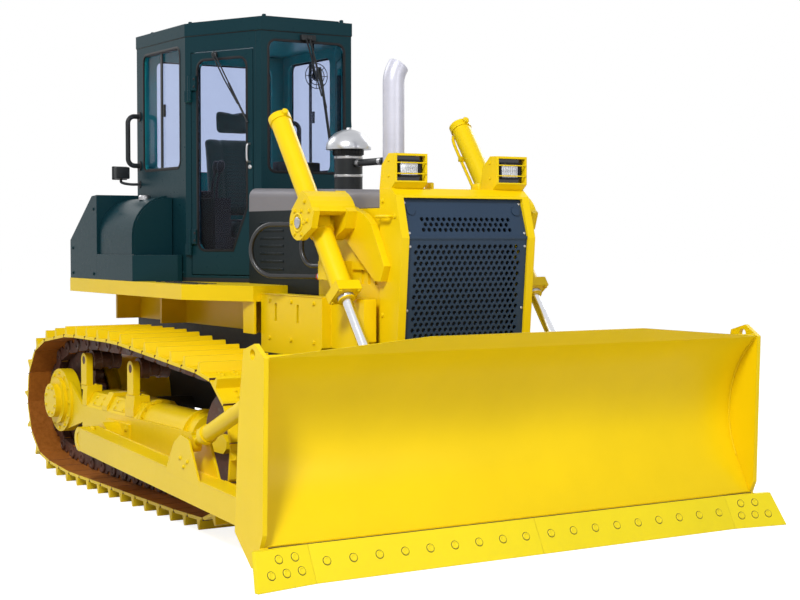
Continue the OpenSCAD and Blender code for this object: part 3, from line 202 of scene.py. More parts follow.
class Tree:
    """The shader nodes of a material or of the world."""

    def __init__(self, owner):
        owner.use_nodes = True
        self.nodes, self.links = owner.node_tree.nodes, owner.node_tree.links

    def feed(self, node, inputs):
        """Sets inputs of a node, each to a value or to another node's output."""
        for key, value in inputs.items():
            if isinstance(value, bpy.types.NodeSocket):
                self.links.new(value, node.inputs[key])
            else:
                node.inputs[key].default_value = value
        return node

    def add(self, kind, inputs=None, **props):
        node = self.nodes.new(kind)
        for key, value in props.items():
            setattr(node, key, value)
        return self.feed(node, inputs or {})

    def math(self, operation, *inputs):
        return self.add("ShaderNodeMath", dict(enumerate(inputs)), operation=operation).outputs[0]

    def times(self, a, b):
        return self.math("MULTIPLY", a, b)

    def show_when_seen(self, plain, shown, output):
        """Swaps a shader where a ray comes from the camera, a mirror or clear glass."""
        path = self.add("ShaderNodeLightPath").outputs
        seen = path["Is Camera Ray"]
        for name in ("Is Glossy Ray", "Is Transmission Ray"):
            seen = self.math("MAXIMUM", seen, path[name])
        both = self.add("ShaderNodeMixShader", {0: seen, 1: plain.outputs[0], 2: shown.outputs[0]})
        self.feed(output, {"Surface": both.outputs[0]})


class Finish(Tree):
    """A material worked out from the place and the direction of each face."""

    def __init__(self, name):
        self.mat = bpy.data.materials.new(name)
        super().__init__(self.mat)
        places = self.add("ShaderNodeTexCoord").outputs
        self.coord, self.normal = places["Object"], places["Normal"]

    def set(self, **inputs):
        """Sets inputs of the surface, with an underscore for each space in a name."""
        named = {key.replace("_", " "): value for key, value in inputs.items()}
        self.feed(self.nodes["Principled BSDF"], named)

    def noise(self, scale, detail=3.0, rough=0.55, coord=None):
        inputs = {"Scale": scale, "Detail": detail, "Roughness": rough, "Vector": coord or self.coord}
        return self.add("ShaderNodeTexNoise", inputs).outputs["Fac"]

    def spread(self, value, low, high, to_low=0.0, to_high=1.0):
        """Carries the range from low to high over to another range."""
        inputs = {"Value": value, "From Min": low, "From Max": high, "To Min": to_low, "To Max": to_high}
        return self.add("ShaderNodeMapRange", inputs).outputs["Result"]

    def vector(self, operation, *inputs):
        return self.add("ShaderNodeVectorMath", dict(enumerate(inputs)), operation=operation).outputs

    def split(self, vector):
        return self.add("ShaderNodeSeparateXYZ", {0: vector}).outputs

    def mix(self, share, a, b):
        a, b = ((*colour, 1.0) if isinstance(colour, tuple) else colour for colour in (a, b))
        return self.add("ShaderNodeMix", {0: share, 6: a, 7: b}, data_type="RGBA").outputs[2]

    def facing(self, direction):
        """How far a face looks along a direction, from minus one to one."""
        unit = self.vector("NORMALIZE", direction)["Vector"]
        return self.vector("DOT_PRODUCT", unit, self.normal)["Value"]

    def in_loop(self, place):
        """One where a face of the track loop looks to the inside of the loop, where the painted shade goes.
        """
        near = self.add("ShaderNodeClamp", {"Value": place["X"], "Min": LOOP_X[0], "Max": LOOP_X[1]})
        away = self.add("ShaderNodeCombineXYZ", {
            "X": self.math("SUBTRACT", place["X"], near.outputs["Result"]),
            "Z": self.math("SUBTRACT", place["Z"], LOOP_Z)})
        inside = self.spread(self.facing(away.outputs[0]), -0.6, -0.3, 1.0, 0.0)
        # the flanks of the link rails near the loop's middle, which take the painted shade too
        flank = self.spread(self.math("ABSOLUTE", self.split(self.normal)["Y"]), 0.4, 0.6)
        off = self.math("ABSOLUTE", self.math("SUBTRACT", self.math("ABSOLUTE", place["Y"]), TRACK_Y))
        return self.math("MAXIMUM", inside, self.times(flank, self.spread(off, 0.10, 0.12, 1.0, 0.0)))

    def in_cab(self):
        """One where a face looks to the middle of the cab, where the painted light goes."""
        away = self.vector("SUBTRACT", self.coord, CAB_MID)["Vector"]
        return self.spread(self.facing(away), -0.35, -0.25, 1.0, 0.0)

    def bump(self, height, strength, edge=None, distance=0.002):
        """Fine relief, on edges that look rounded by the radius edge."""
        inputs = {"Strength": strength, "Distance": distance, "Height": height}
        if edge:
            inputs["Normal"] = self.add("ShaderNodeBevel", {"Radius": edge}, samples=4).outputs["Normal"]
        self.set(Normal=self.add("ShaderNodeBump", inputs).outputs["Normal"])


def shade(colour, factor):
    return tuple(min(1.0, c * factor) for c in colour)


def paint(name, colour, rough=0.34, dust=0.0, dust_top=0.9, coat=0.03, edge=0.004, peel=0.05, spec=0.18,
          low_shade=None, low_z=0.0, loop_shade=None, inside_light=None):
    """Sprayed machine paint: slight colour drift, orange peel, dust low down and rounded edges.
    The colour below the height low_z is painted shade, the one for the inside of a track loop is painted
    shade and the one for the faces that look into the cab is painted light."""
    t = Finish(name)
    base = t.mix(t.spread(t.noise(1.3, 4.0), 0.35, 0.65), shade(colour, 0.95), shade(colour, 1.03))
    fine = t.noise(38.0, 5.0, 0.65)
    place = t.split(t.coord)
    # painted shade: near black below the height low_z
    if low_shade:
        base = t.mix(t.spread(place["Z"], low_z, low_z + 0.004, 1.0, 0.0), base, low_shade)
    # painted shade on the faces inside a track loop
    if loop_shade:
        base = t.mix(t.in_loop(place), base, t.mix(fine, shade(loop_shade, 0.5), shade(loop_shade, 1.5)))
    # painted light: the faces that look into the cab take a far lighter teal
    if inside_light:
        base = t.mix(t.in_cab(), base, inside_light)
    low = t.spread(place["Z"], 0.0, dust_top, 1.0, 0.0)
    dusty = t.times(t.times(low, t.spread(fine, 0.35, 0.75)), dust)
    t.set(Base_Color=t.mix(dusty, base, DUST), Roughness=t.spread(fine, 0.3, 0.7, rough - 0.04, rough + 0.07),
          Coat_Weight=coat, Coat_Roughness=0.15, Specular_IOR_Level=spec)
    t.bump(t.noise(240.0, 2.0), peel, edge)
    return t.mat


def bare_metal(name, colour, rough=0.38, metallic=1.0, streak=30.0, uneven=0.2):
    """Bare or worn steel with fine streaks and uneven gloss."""
    t = Finish(name)
    stretch = t.add("ShaderNodeMapping", {"Scale": (1.0, 1.0, 6.0), "Vector": t.coord})
    grain = t.noise(streak, 6.0, 0.7, stretch.outputs["Vector"])
    tone = t.mix(t.spread(grain, 0.3, 0.7), shade(colour, 1.0 - uneven), shade(colour, 1.0 + 0.4 * uneven))
    gloss = t.spread(grain, 0.3, 0.7, rough - 0.3 * uneven, rough + 0.5 * uneven)
    t.set(Base_Color=tone, Roughness=gloss, Metallic=metallic)
    t.bump(grain, 0.05, 0.003)
    return t.mat


def cast_links(name, colour):
    """Forged links in red-brown primer, rubbed bright in places."""
    t = Finish(name)
    blotch = t.noise(9.0, 6.0, 0.7)
    rubbed = t.spread(t.noise(26.0, 4.0, 0.6), 0.56, 0.70)
    base = t.mix(t.spread(blotch, 0.35, 0.65), shade(colour, 0.55), shade(colour, 1.35))
    tone = t.mix(t.times(rubbed, 0.35), base, RUBBED_LINK)
    t.set(Base_Color=tone, Roughness=t.spread(blotch, 0.3, 0.7, 0.45, 0.75), Metallic=0.2)
    t.bump(t.noise(60.0, 5.0, 0.7), 0.25, 0.005, 0.004)
    return t.mat


def moulded(name, colour, rough=0.5, spec=0.2):
    """Grained plastic or rubber."""
    t = Finish(name)
    pores = t.noise(420.0, 2.0, 0.6)
    tone = t.mix(t.spread(t.noise(6.0, 3.0), 0.3, 0.7), shade(colour, 0.8), shade(colour, 1.25))
    gloss = t.spread(pores, 0.3, 0.7, rough - 0.08, rough + 0.1)
    t.set(Base_Color=tone, Roughness=gloss, Specular_IOR_Level=spec)
    t.bump(pores, 0.18, 0.003)
    return t.mat


def woven(name, colour):
    """Coarse woven seat cloth."""
    t = Finish(name)
    inputs = {"Scale": 90.0, "Distortion": 1.2, "Vector": t.coord}
    weave = t.times(*(t.add("ShaderNodeTexWave", inputs, bands_direction=direction).outputs["Fac"]
                      for direction in ("X", "Y")))
    t.set(Base_Color=t.mix(weave, shade(colour, 0.55), shade(colour, 1.6)), Roughness=0.85, Sheen_Weight=0.35,
          Sheen_Roughness=0.5)
    t.bump(weave, 0.35)
    return t.mat


def smeared(name, colour, dull):
    """Start of a glass: a colour that drifts to a duller shade, and that drift."""
    t = Finish(name)
    smear = t.spread(t.noise(5.0, 4.0, 0.6), 0.2, 0.8)
    t.set(Base_Color=t.mix(smear, shade(colour, dull), colour))
    return t, smear


def pane(name, tint):
    """Clear tinted glass with faint smears."""
    t, _ = smeared(name, tint, 0.96)
    t.set(Transmission_Weight=1.0, Roughness=0.0, IOR=1.15)
    return t.mat


def lens(name, colour, alpha, rough):
    """Pressed lamp glass, partly seen through."""
    t, smear = smeared(name, colour, 0.9)
    gloss = t.spread(smear, 0.0, 1.0, 0.5 * rough, rough)
    t.set(Roughness=gloss, Alpha=alpha, IOR=1.5, Specular_IOR_Level=0.8)
    return t.mat


CAB_FINISH = {"rough": 0.30, "coat": 0.0, "edge": 0.005, "peel": 0.02, "spec": 0.09}
MAT = {
    "yellow": paint("yellow_paint", YELLOW, dust=0.03),
    "blade": paint("blade_yellow", YELLOW, rough=0.36, dust=0.03, dust_top=0.5),
    "edge": paint("edge_yellow", YELLOW_EDGE, rough=0.42, dust=0.06, dust_top=0.3),
    "shoe": paint("shoe_yellow", YELLOW, rough=0.42, dust=0.10, dust_top=0.6, loop_shade=SHOE_INNER_SHADE),
    "frame": paint("frame_yellow", YELLOW, rough=0.38, dust=0.07),
    "teal": paint("teal_paint", TEAL, **CAB_FINISH),
    "cab": paint("cab_paint", TEAL, inside_light=CAB_INSIDE_LIGHT, **CAB_FINISH),
    "hood": paint("hood_grey", HOOD_GREY, coat=0.0, edge=0.006, peel=0.02, spec=0.08, low_shade=HOOD_SIDE_SHADE,
                  low_z=HOOD_SEAM),
    "dark": paint("dark_paint", DARK, rough=0.5, dust=0.15, dust_top=1.0, coat=0.0, spec=0.2),
    "grille": paint("grille_paint", BLUE_GREY, rough=0.38, coat=0.02, edge=0.002, spec=0.2),
    "links": cast_links("link_primer", LINK_BROWN),
    "steel": bare_metal("worn_steel", STEEL),
    "chrome": bare_metal("hard_chrome", CHROME, rough=0.16, streak=20.0, uneven=0.06),
    "silver": bare_metal("silver_pipe", SILVER, rough=0.40, metallic=0.25, streak=2.5, uneven=0.1),
    "pressed": bare_metal("pressed_steel", PRESSED, rough=0.30, metallic=0.85, streak=4.0, uneven=0.1),
    "rubber": moulded("black_rubber", RUBBER, rough=0.52),
    "hose": moulded("hose_rubber", RUBBER, rough=0.36, spec=0.55),
    "plastic": moulded("black_plastic", PLASTIC, rough=0.42),
    "cloth": woven("seat_weave", CLOTH),
    "glass": pane("cab_glass", CAB_TINT_AND_SKY),
    "lens": lens("lamp_glass", LENS_WHITE, alpha=0.5, rough=0.14),
    "lamp_inside": lens("lamp_back_glass", LENS_BACK, alpha=0.95, rough=0.06),
    "red": paint("red_fitting", BAND_RED, rough=0.4),
}

NODE_LOOKS = {
    "blade": ("mouldboard", "end_plates"),
    "edge": ("cutting_edges", "end_bits"),
    "shoe": ("track_right", "track_left"),
    "frame": ("track_frame_right", "track_frame_left", "final_drives", "carrier_brackets"),
    "teal": ("fuel_tank", "side_tanks"),
    "cab": ("cab_front", "cab_side_right", "cab_side_left", "cab_rear", "cab_roof", "door_right",
            "door_left"),
    "hood": ("hood",),
    # the main frame's near-black is painted shade under the deck
    "dark": ("main_frame", "engine_block", "belly_shafts", "radiator", "cab_floor", "seat_base", "dashboard"),
    "grille": ("grille",),
    "links": ("sprockets", "idlers", "track_rollers", "carrier_rollers"),
    "chrome": ("lift_rod_right", "lift_rod_left", "tilt_rod"),
    "silver": ("exhaust_stack",),
    "plastic": ("air_cleaner", "handrails"),
    "hose": ("hoses",),
    "cloth": ("seat_cushions",),
    "glass": ("windscreen", "side_glass", "rear_glass", "door_glass_right", "door_glass_left"),
    "lamp_inside": ("lamp_lenses",),
}
look_of = {node: look for look, names in NODE_LOOKS.items() for node in names}
for name, obj in nodes.items():
    obj.data.materials.clear()
    obj.data.materials.append(MAT[look_of.get(name, "yellow")])


# Mesh building

def add_object(name, data, at=(0, 0, 0), look=None):
    """Puts an object in the scene. A camera or a lamp is turned to look along a direction."""
    obj = bpy.data.objects.new(name, data)
    obj.location = at
    if look is not None:
        obj.rotation_euler = look.to_track_quat("-Z", "Y").to_euler()
    bpy.context.scene.collection.objects.link(obj)
    return obj


def across(axis):
    """Two directions at right angles to axis."""
    axis = Vector(axis).normalized()
    u = axis.cross(Z if abs(axis.z) < 0.9 else X).normalized()
    return u, axis.cross(u)


def polar(u, v, angle, r):
    """A step of length r at an angle from the direction u to v."""
    return (u * cos(angle) + v * sin(angle)) * r


def turns(n, start=0.0):
    """Angles that share a full turn evenly."""
    return [start + 2 * pi * i / n for i in range(n)]


class Group:
    """Small forms that share a body and a finish, gathered in one mesh."""
    made = []

    def __init__(self, name, look, slot, body="tractor", angle=35.0):
        self.name, self.look, self.slot, self.body, self.angle = name, look, slot, body, angle
        self.bm = bmesh.new()
        Group.made.append(self)

    def skin(self, rings, closed=False):
        """Faces between rings of points, which all have the same count."""
        rows = [[self.bm.verts.new(p) for p in ring] for ring in rings]
        pairs = list(zip(rows, rows[1:])) + ([(rows[-1], rows[0])] if closed else [])
        for a, b in pairs:
            for i in range(len(a)):
                j = (i + 1) % len(a)
                self.bm.faces.new((a[i], a[j], b[j], b[i]))
        if not closed:
            self.bm.faces.new(rows[0][::-1])
            self.bm.faces.new(rows[-1])

    def lathe(self, at, axis, profile, sides=16, spin=0.0):
        """A turned form: (radius, height) pairs along axis."""
        at, axis = Vector(at), Vector(axis).normalized()
        u, v = across(axis)
        self.skin([[at + axis * h + polar(u, v, a, r) for a in turns(sides, spin)] for r, h in profile])

    def bolt(self, at, axis, r):
        """Hexagon head on a washer."""
        self.lathe(at, axis, ((1.32 * r, 0.0), (1.32 * r, 0.10 * r), (1.22 * r, 0.20 * r)), 14)
        self.lathe(at, axis, ((r, 0.1 * r), (r, 0.68 * r), (0.82 * r, 0.84 * r)), 6, 0.3)

    def plug(self, at, axis, r):
        """Flush round head of a plough bolt with a shallow ring."""
        self.lathe(at, axis, ((r, 0.0), (r, 0.16 * r), (0.86 * r, 0.28 * r), (0.62 * r, 0.30 * r),
                              (0.55 * r, 0.20 * r), (0.2 * r, 0.20 * r)), 20)

    def clamp(self, at, r, half, sides):
        """Band round an upright pipe, with its bolt."""
        at = Vector(at)
        top = half - 0.002
        self.lathe(at, Z, ((r, -half), (r + 0.002, -top), (r + 0.002, top), (r, half)), sides)
        self.bolt(at - Y * (r + 0.0035), -Y, 0.007)

    def sweep(self, path, section, closed=False, up=None):
        """A flat section of (across, up) points carried along a path."""
        path = [Vector(p) for p in path]
        n = len(path)
        rings = []
        side = None
        for i, p in enumerate(path):
            before = path[i - 1] if i or closed else p
            after = path[(i + 1) % n] if i < n - 1 or closed else p
            along = (after - before).normalized()
            if up is not None:
                side = along.cross(up).normalized()
            elif side is None:
                side = across(along)[0]
            else:
                side = (side - along * side.dot(along)).normalized()
            top = side.cross(along)
            rings.append([p + side * a + top * b for a, b in section])
        self.skin(rings, closed)

    def tube(self, path, r, sides=10, closed=False):
        self.sweep(path, [(r * cos(a), r * sin(a)) for a in turns(sides)], closed)

    def bead(self, start, end, r=0.005, step=0.008):
        """Weld bead with the ripples of single drops."""
        start, end = Vector(start), Vector(end)
        n = 2 * max(3, int((end - start).length / step))
        u, v = across(end - start)
        rings = []
        for i in range(n + 1):
            k = r * (1.0 if i % 2 else 0.74)
            rings.append([start.lerp(end, i / n) + polar(u, v, a, k) for a in turns(6)])
        self.skin(rings)

    def block(self, low, high, bevel=0.004, turn=None):
        """A box with broken edges."""
        low, high = Vector(low), Vector(high)
        made = bmesh.ops.create_cube(self.bm, size=1.0)["verts"]
        size, mid = high - low, (low + high) / 2
        for vert in made:
            vert.co = Vector(c * s for c, s in zip(vert.co, size))
            vert.co = (turn @ vert.co if turn else vert.co) + mid
        edges = list({e for vert in made for e in vert.link_edges})
        bmesh.ops.bevel(self.bm, geom=edges, offset=bevel, segments=2, affect="EDGES", profile=0.6)

    def plate(self, outline, depth):
        """A flat outline of points, made as thick as the vector depth."""
        self.skin([outline, [p + depth for p in outline]])

    def done(self):
        bmesh.ops.recalc_face_normals(self.bm, faces=self.bm.faces)
        mesh = bpy.data.meshes.new(self.name)
        self.bm.to_mesh(mesh)
        self.bm.free()
        mesh.shade_smooth()
        mesh.set_sharp_from_angle(angle=radians(self.angle))
        mesh.materials.append(MAT[self.look])
        obj = add_object(self.name, mesh)
        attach(obj, self.body)


def rounded_path(w, h, r, n=6):
    """Outline of a rectangle with round corners, from its lower corner, anticlockwise."""
    out = []
    for cx, cz, start in ((w - r, r, -90), (w - r, h - r, 0), (r, h - r, 90), (r, r, 180)):
        for i in range(n + 1):
            a = radians(start + 90.0 * i / n)
            out.append((cx + r * cos(a), cz + r * sin(a)))
    return out


def smooth_path(points, n=8):
    """A soft curve through the points."""
    pts = [Vector(p) for p in points]
    pts = [2 * pts[0] - pts[1]] + pts + [2 * pts[-1] - pts[-2]]
    out = []
    for a, b, c, d in zip(pts, pts[1:], pts[2:], pts[3:]):
        for i in range(n):
            t = i / n
            out.append(0.5 * (2 * b + (c - a) * t + (2 * a - 5 * b + 4 * c - d) * t * t
                              + (3 * b - a - 3 * c + d) * t ** 3))
    return out + [pts[-2]]


# Tracks

def belt_pins():
    """Link pins of one loop, evenly spaced round the wheels."""
    n = len(BELT)

    def run_angle(i):
        (x0, z0, r0), (x1, z1, r1) = BELT[i % n], BELT[(i + 1) % n]
        return atan2(z1 - z0, x1 - x0) - acos((r0 - r1) / hypot(x1 - x0, z1 - z0))

    runs = []
    for i, (x, z, r) in enumerate(BELT):
        x1, z1, r1 = BELT[(i + 1) % n]
        start = run_angle(i - 1)
        runs.append((True, i, start, ((run_angle(i) - start) % (2 * pi)) * r))
        runs.append((False, i, run_angle(i), sqrt((x1 - x) ** 2 + (z1 - z) ** 2 - (r - r1) ** 2)))
    pitch = sum(run[3] for run in runs) / SHOE_N
    pins = []
    for k in range(SHOE_N):
        s = k * pitch
        for on_wheel, i, a, length in runs:
            if s <= length:
                break
            s -= length
        x, z, r = BELT[i]
        centre = Vector((x, 0, z))
        if on_wheel:
            pins.append(centre + polar(X, Z, a + s / r, r))
        else:
            pins.append(centre + polar(X, Z, a, r) + polar(Z, -X, a, s))
    return pins


PINS = belt_pins()


def shoe_point(k, f, h, y):
    """A point at the share f along shoe k and h above its pins, and the direction out of the loop."""
    a, b = PINS[k], PINS[(k + 1) % SHOE_N]
    along = (b - a).normalized()
    out = Vector((along.z, 0, -along.x))
    return a.lerp(b, f) + out * h + Y * y, out


def make_track(side, s):
    """Link plates with pins, bolts on the shoes, and the dark joints between the shoes."""
    mid = s * TRACK_Y
    links = Group("track_links_" + side, "links", "track_steel", angle=30.0)
    bolts = Group("shoe_bolts_" + side, "frame", "track_steel")
    for k in range(SHOE_N):
        for t in (-1, 1):
            y0 = mid + t * (LINK_IN - 0.001)
            y1 = mid + t * (LINK_OUT + 0.007)
            links.plate([shoe_point(k, f, h * LINK_H, y0)[0] for f, h in LINK_FORM], Y * (y1 - y0))
            links.lathe(PINS[k] + Y * y1, Y * t, LINK_PIN, 14)
            for f in (0.28, 0.52):
                for y in (y1 - t * 0.022, mid + t * 0.150):
                    bolts.bolt(*shoe_point(k, f, SHOE_TOP - 0.001, y), 0.0115)
        start = mid - SHOE_W / 2 - 0.0012
        links.plate([shoe_point(k, f, h, start)[0] for f, h in SHOE_JOINT], Y * (SHOE_W + 0.0024))


def make_track_frame(side, s):
    """Covers, bolts and welds on a track frame, and ribs on its carrier rollers."""
    mid, out = s * TRACK_Y, Y * s
    trim = Group("frame_fittings_" + side, "frame", "yellow_paint")
    ribs = Group("roller_ribs_" + side, "links", "track_steel")
    # covers on the sloping shoulder
    slope = Vector((0, s * (FRAME_TOP - FRAME_MID), FRAME_HW - FRAME_TOP_HW)).normalized()
    along = Vector((0, -s * slope.z, abs(slope.y)))
    shoulder = Vector((0, mid + s * (FRAME_TOP_HW + FRAME_HW) / 2, (FRAME_TOP + FRAME_MID) / 2))
    tilt = Matrix.Rotation(s * atan2(slope.z, abs(slope.y)), 3, "X")
    for x0, x1 in FRAME_COVERS_X:
        at = shoulder + X * (x0 + x1) / 2
        half = Vector(((x1 - x0) / 2, 0.004, 0.036))
        trim.block(at - half, at + half, 0.003, tilt)
        for x in (x0 + 0.022, x1 - 0.022):
            for h in (-0.020, 0.020):
                trim.bolt(shoulder + X * x + along * h + slope * 0.004, slope, 0.0085)
    # flanges of the spring housing, the frame's lower edge and the final drive
    for x in SPRING_FLANGES:
        for i in range(7):
            at = Vector((x, mid, SPRING_Z)) + polar(Y, Z, radians(18 + 24 * i), SPRING_BOLT_R)
            trim.bolt(at, X, 0.0075)
    for i in range(12):
        trim.bolt((-1.16 + 0.13 * i, mid + s * FRAME_HW, 0.235), out, 0.0095)
    drive = Vector((SPROCKET[0], mid, SPROCKET[1]))
    for a in turns(12):
        trim.bolt(drive + out * FRAME_COVER + polar(X, Z, a, 0.178), out, 0.0105)
    for a in turns(8, pi / 8):
        trim.bolt(drive + out * (SHOE_W / 2 - 0.02) + polar(X, Z, a, 0.085), out, 0.009)
    for x, z, _ in CARRIERS:
        for dx in (-0.045, 0.045):
            trim.bolt((x + dx, mid + s * 0.080, FRAME_TOP + 0.040), Z, 0.0095)
        weld = Vector((x, mid + s * 0.143, FRAME_TOP + 0.043))
        trim.bead(weld - X * 0.046, weld + X * 0.046)
        for y in (-0.088, -0.036, 0.036, 0.088):
            ribs.lathe((x, mid + y, z), Y, RIB_FORM, 32)
    for dx in (-0.15, 0.15):
        for dz in (-0.05, 0.06):
            trim.bolt((TRUNNION[0] + dx, mid + s * FRAME_COVER, TRUNNION[1] + dz), out, 0.013)


# Blade and push arms

def edge_point(z):
    """Middle of the straight cutting edge's face at height z, and the face's direction."""
    return Vector((EDGE_X - tan(EDGE_LEAN) * z, 0, z)), Vector((cos(EDGE_LEAN), 0, sin(EDGE_LEAN)))


def make_edges():
    """Plough bolts with dark rims, and a painted shadow line where the mouldboard meets the edges."""
    bolts = Group("edge_bolts", "edge", "edge_steel", "blade")
    rims_and_shade_line = Group("edge_bolt_rims_and_shade_line", "dark", "dark_paint", "blade")

    def plough_bolt(at, out):
        bolts.plug(at, out, 0.0185)
        rims_and_shade_line.lathe(at, out, ((0.0218, -0.001), (0.0218, 0.0004), (0.0190, 0.0006)), 20)

    for s in (-1, 1):
        at, out = edge_point(0.088)
        for i in range(9):
            plough_bolt(at + Y * s * EDGE_HW * (i + 0.55) / 9.1, out)
        turn = Matrix.Rotation(-s * BIT_TURN, 3, "Z")
        corner = Vector((EDGE_X, s * EDGE_HW, 0))
        for z, places in ((0.122, (0.075, 0.165)), (0.062, (0.060, 0.145, 0.230))):
            at, out = edge_point(z)
            for d in places:
                plough_bolt(corner + turn @ (at - X * EDGE_X + Y * s * d), turn @ out)
    # painted shadow: a thin dark line along the top of the cutting edges, under the mouldboard
    at = edge_point(EDGE_H)[0] - X * 0.004
    half = Y * (MOULD_HW - 0.01)
    rims_and_shade_line.tube([at - half, at + half], 0.0032, 6)


def make_blade_welds():
    welds = Group("blade_welds", "blade", "yellow_paint", "blade", angle=60.0)
    sweep = asin((MOULD_TOP - MOULD_Z) / MOULD_R) + EDGE_LEAN
    for s in (-1, 1):
        centre = Vector((MOULD_X, s * (MOULD_HW - 0.003), MOULD_Z))
        arc = [centre - polar(X, Z, EDGE_LEAN - sweep * i / 12, MOULD_R - 0.002) for i in range(13)]
        for p, q in zip(arc, arc[1:]):
            welds.bead(p, q, 0.006)
        for y in RIBS_Y:
            for d in (-0.013, 0.013):
                welds.bead((RIB_X, s * y + d, 0.44), (RIB_X, s * y + d, 0.70))
    at = edge_point(EDGE_H + 0.004)[0] - X * 0.024
    half = Y * (MOULD_HW - 0.01)
    welds.bead(at - half, at + half, 0.005, 0.012)


def make_blade_pins():
    pins = Group("blade_pins", "steel", "bare_metal", "blade")
    for s in (-1, 1):
        ball = Vector((BALL[0], s * ARM_Y, BALL[1]))
        eye = Vector((EYE[0], s * LIFT_Y, EYE[1]))
        for d in (-1, 1):
            pins.lathe(ball + Y * d * 0.100, Y * d, ((0.052, -0.008), (0.052, 0.006), (0.044, 0.012)), 24)
            pins.lathe(eye + Y * d * 0.099, Y * d, ((0.040, 0.0), (0.040, 0.010), (0.033, 0.016)), 24)
            pins.bolt(ball + Vector((-0.03, d * 0.106, 0.004)), Y * d, 0.009)


def make_arm(side, s):
    """Welds, grease points and bolts on a push arm, and the bolts of its cap."""
    arm = Group("arm_fittings_" + side, "yellow", "yellow_paint", "push_arm_" + side, angle=50.0)
    cap = Group("cap_bolts_" + side, "yellow", "yellow_paint", "arm_caps")
    root = Vector((TRUNNION[0], s * ARM_Y, TRUNNION[1]))
    line = Vector((BALL[0] - TRUNNION[0], 0, BALL[1] - TRUNNION[1])).normalized()
    top = Vector((-line.z, 0, line.x))
    for d in (-1, 1):
        edge = root + Y * d * (ARM_W / 2 - 0.002)
        for ends in ((0.10, 1.30), (1.75, 2.25)):
            arm.bead(*(edge + line * t + top * ARM_H / 2 for t in ends), 0.005, 0.012)
        lug = Vector((BRACE_FOOT[0], s * ARM_Y + d * 0.063, BRACE_FOOT[1]))
        for dx, dz in ((-0.045, -0.075), (0.045, -0.085), (0.0, -0.115)):
            arm.bolt(lug + X * dx + Z * dz, Y * d, 0.010)
    for t in (0.055, 0.075):
        arm.lathe(root + line * t + top * ARM_H / 2, top,
                  ((0.012, -0.004), (0.012, 0.010), (0.007, 0.016)), 12)
    for d in (-0.036, 0.036):
        for z in (-0.026, 0.026):
            cap.bolt(root + Y * d - line * 0.066 + top * z, -line, 0.012)


# Lift cylinders

def make_lift(side, s):
    """Head bolts, oil pipe and wiper ring of a lift tube, and the collars of its rod's eye."""
    tube = Group("lift_fittings_" + side, "yellow", "yellow_paint", "lift_tube_" + side)
    pipe = Group("lift_pipes_" + side, "steel", "bare_metal", "lift_tube_" + side)
    eye = Group("rod_eye_" + side, "yellow", "yellow_paint", "lift_rod_" + side)
    root = Vector((LIFT[0], s * LIFT_Y, LIFT[1]))
    eye_at = Vector((EYE[0], s * LIFT_Y, EYE[1]))
    axis = (eye_at - root).normalized()
    top, out = Vector((-axis.z, 0, axis.x)), Y * s
    beside = (top * -0.8 - out * 0.6).normalized()

    def by_tube(t, d):
        return root + axis * t + beside * d

    head = root + axis * TUBE_FRONT
    for a in (-0.054, 0.054):
        for b in (-0.054, 0.054):
            tube.bolt(head + out * a + top * b, axis, 0.0105)
    run = ((0.075, 0.078), (-0.05, 0.080), (-0.30, 0.074), (-0.62, 0.074), (-0.69, 0.060))
    tube.tube(smooth_path([by_tube(t, d) for t, d in run], 10), 0.0095, 12)
    half = Vector((0.016, 0.016, 0.016))
    for t in (-0.30, -0.52):
        tube.block(by_tube(t, 0.068) - half, by_tube(t, 0.068) + half)
    tube.lathe(root - axis * 0.715, top, ((0.020, 0.050), (0.020, 0.078), (0.014, 0.084)), 6)
    pipe.lathe(head + axis * 0.024, axis, ((0.0455, -0.022), (0.0455, -0.006), (0.041, 0.001)), 28)
    pipe.lathe(by_tube(0.078, 0.078), axis, ((0.015, -0.014), (0.015, 0.012)), 6)
    pipe.lathe(root + out * 0.1225, out, ((0.030, 0.0), (0.030, 0.006), (0.022, 0.010)), 24)
    for d in (-1, 1):
        eye.lathe(eye_at + Y * d * 0.035, Y * d, ((0.046, 0.0), (0.046, 0.004), (0.028, 0.005)), 28)
    eye.lathe(eye_at - axis * 0.046, -axis, ((0.036, -0.006), (0.036, 0.030), (0.029, 0.040)), 24)


def make_yokes():
    """Collars and bolts on the outer cheeks that carry the lift cylinders."""
    yoke = Group("yoke_bolts", "yellow", "yellow_paint")
    for s in (-1, 1):
        at = Vector((LIFT[0], s * YOKE_OUT, LIFT[1]))
        yoke.tube([at + polar(X, Z, a, 0.046) for a in turns(36)], 0.006, 10, True)
        for a in turns(6):
            yoke.bolt(at + polar(X, Z, a, 0.070), Y * s, 0.0095)
        for x, z in ((1.055, 1.740), (1.105, 1.690), (1.085, 1.640)):
            yoke.bolt((x, s * YOKE_OUT, z), Y * s, 0.0105)


def make_hose_ends():
    """Nuts, sleeves and red bands where the lift hoses end."""
    fit = Group("hose_fittings", "steel", "bare_metal")
    band = Group("hose_bands", "red", "dark_paint")
    for s in (-1, 1):
        for y, z, r in HOSES:
            for h in (z, z - 2 * r):
                at = Vector((HOSE_X, s * y, h))
                fit.lathe(at - X * 0.001, -X, ((0.0215, 0.0), (0.0215, 0.016), (0.019, 0.019)), 6)
                fit.lathe(at - X * 0.020, -X, ((0.0192, 0.0), (0.0192, 0.012)), 20)
                band.lathe(at - X * 0.030, -X, ((0.0193, 0.0), (0.0193, 0.013), (0.0165, 0.016)), 20)


# Nose and hood

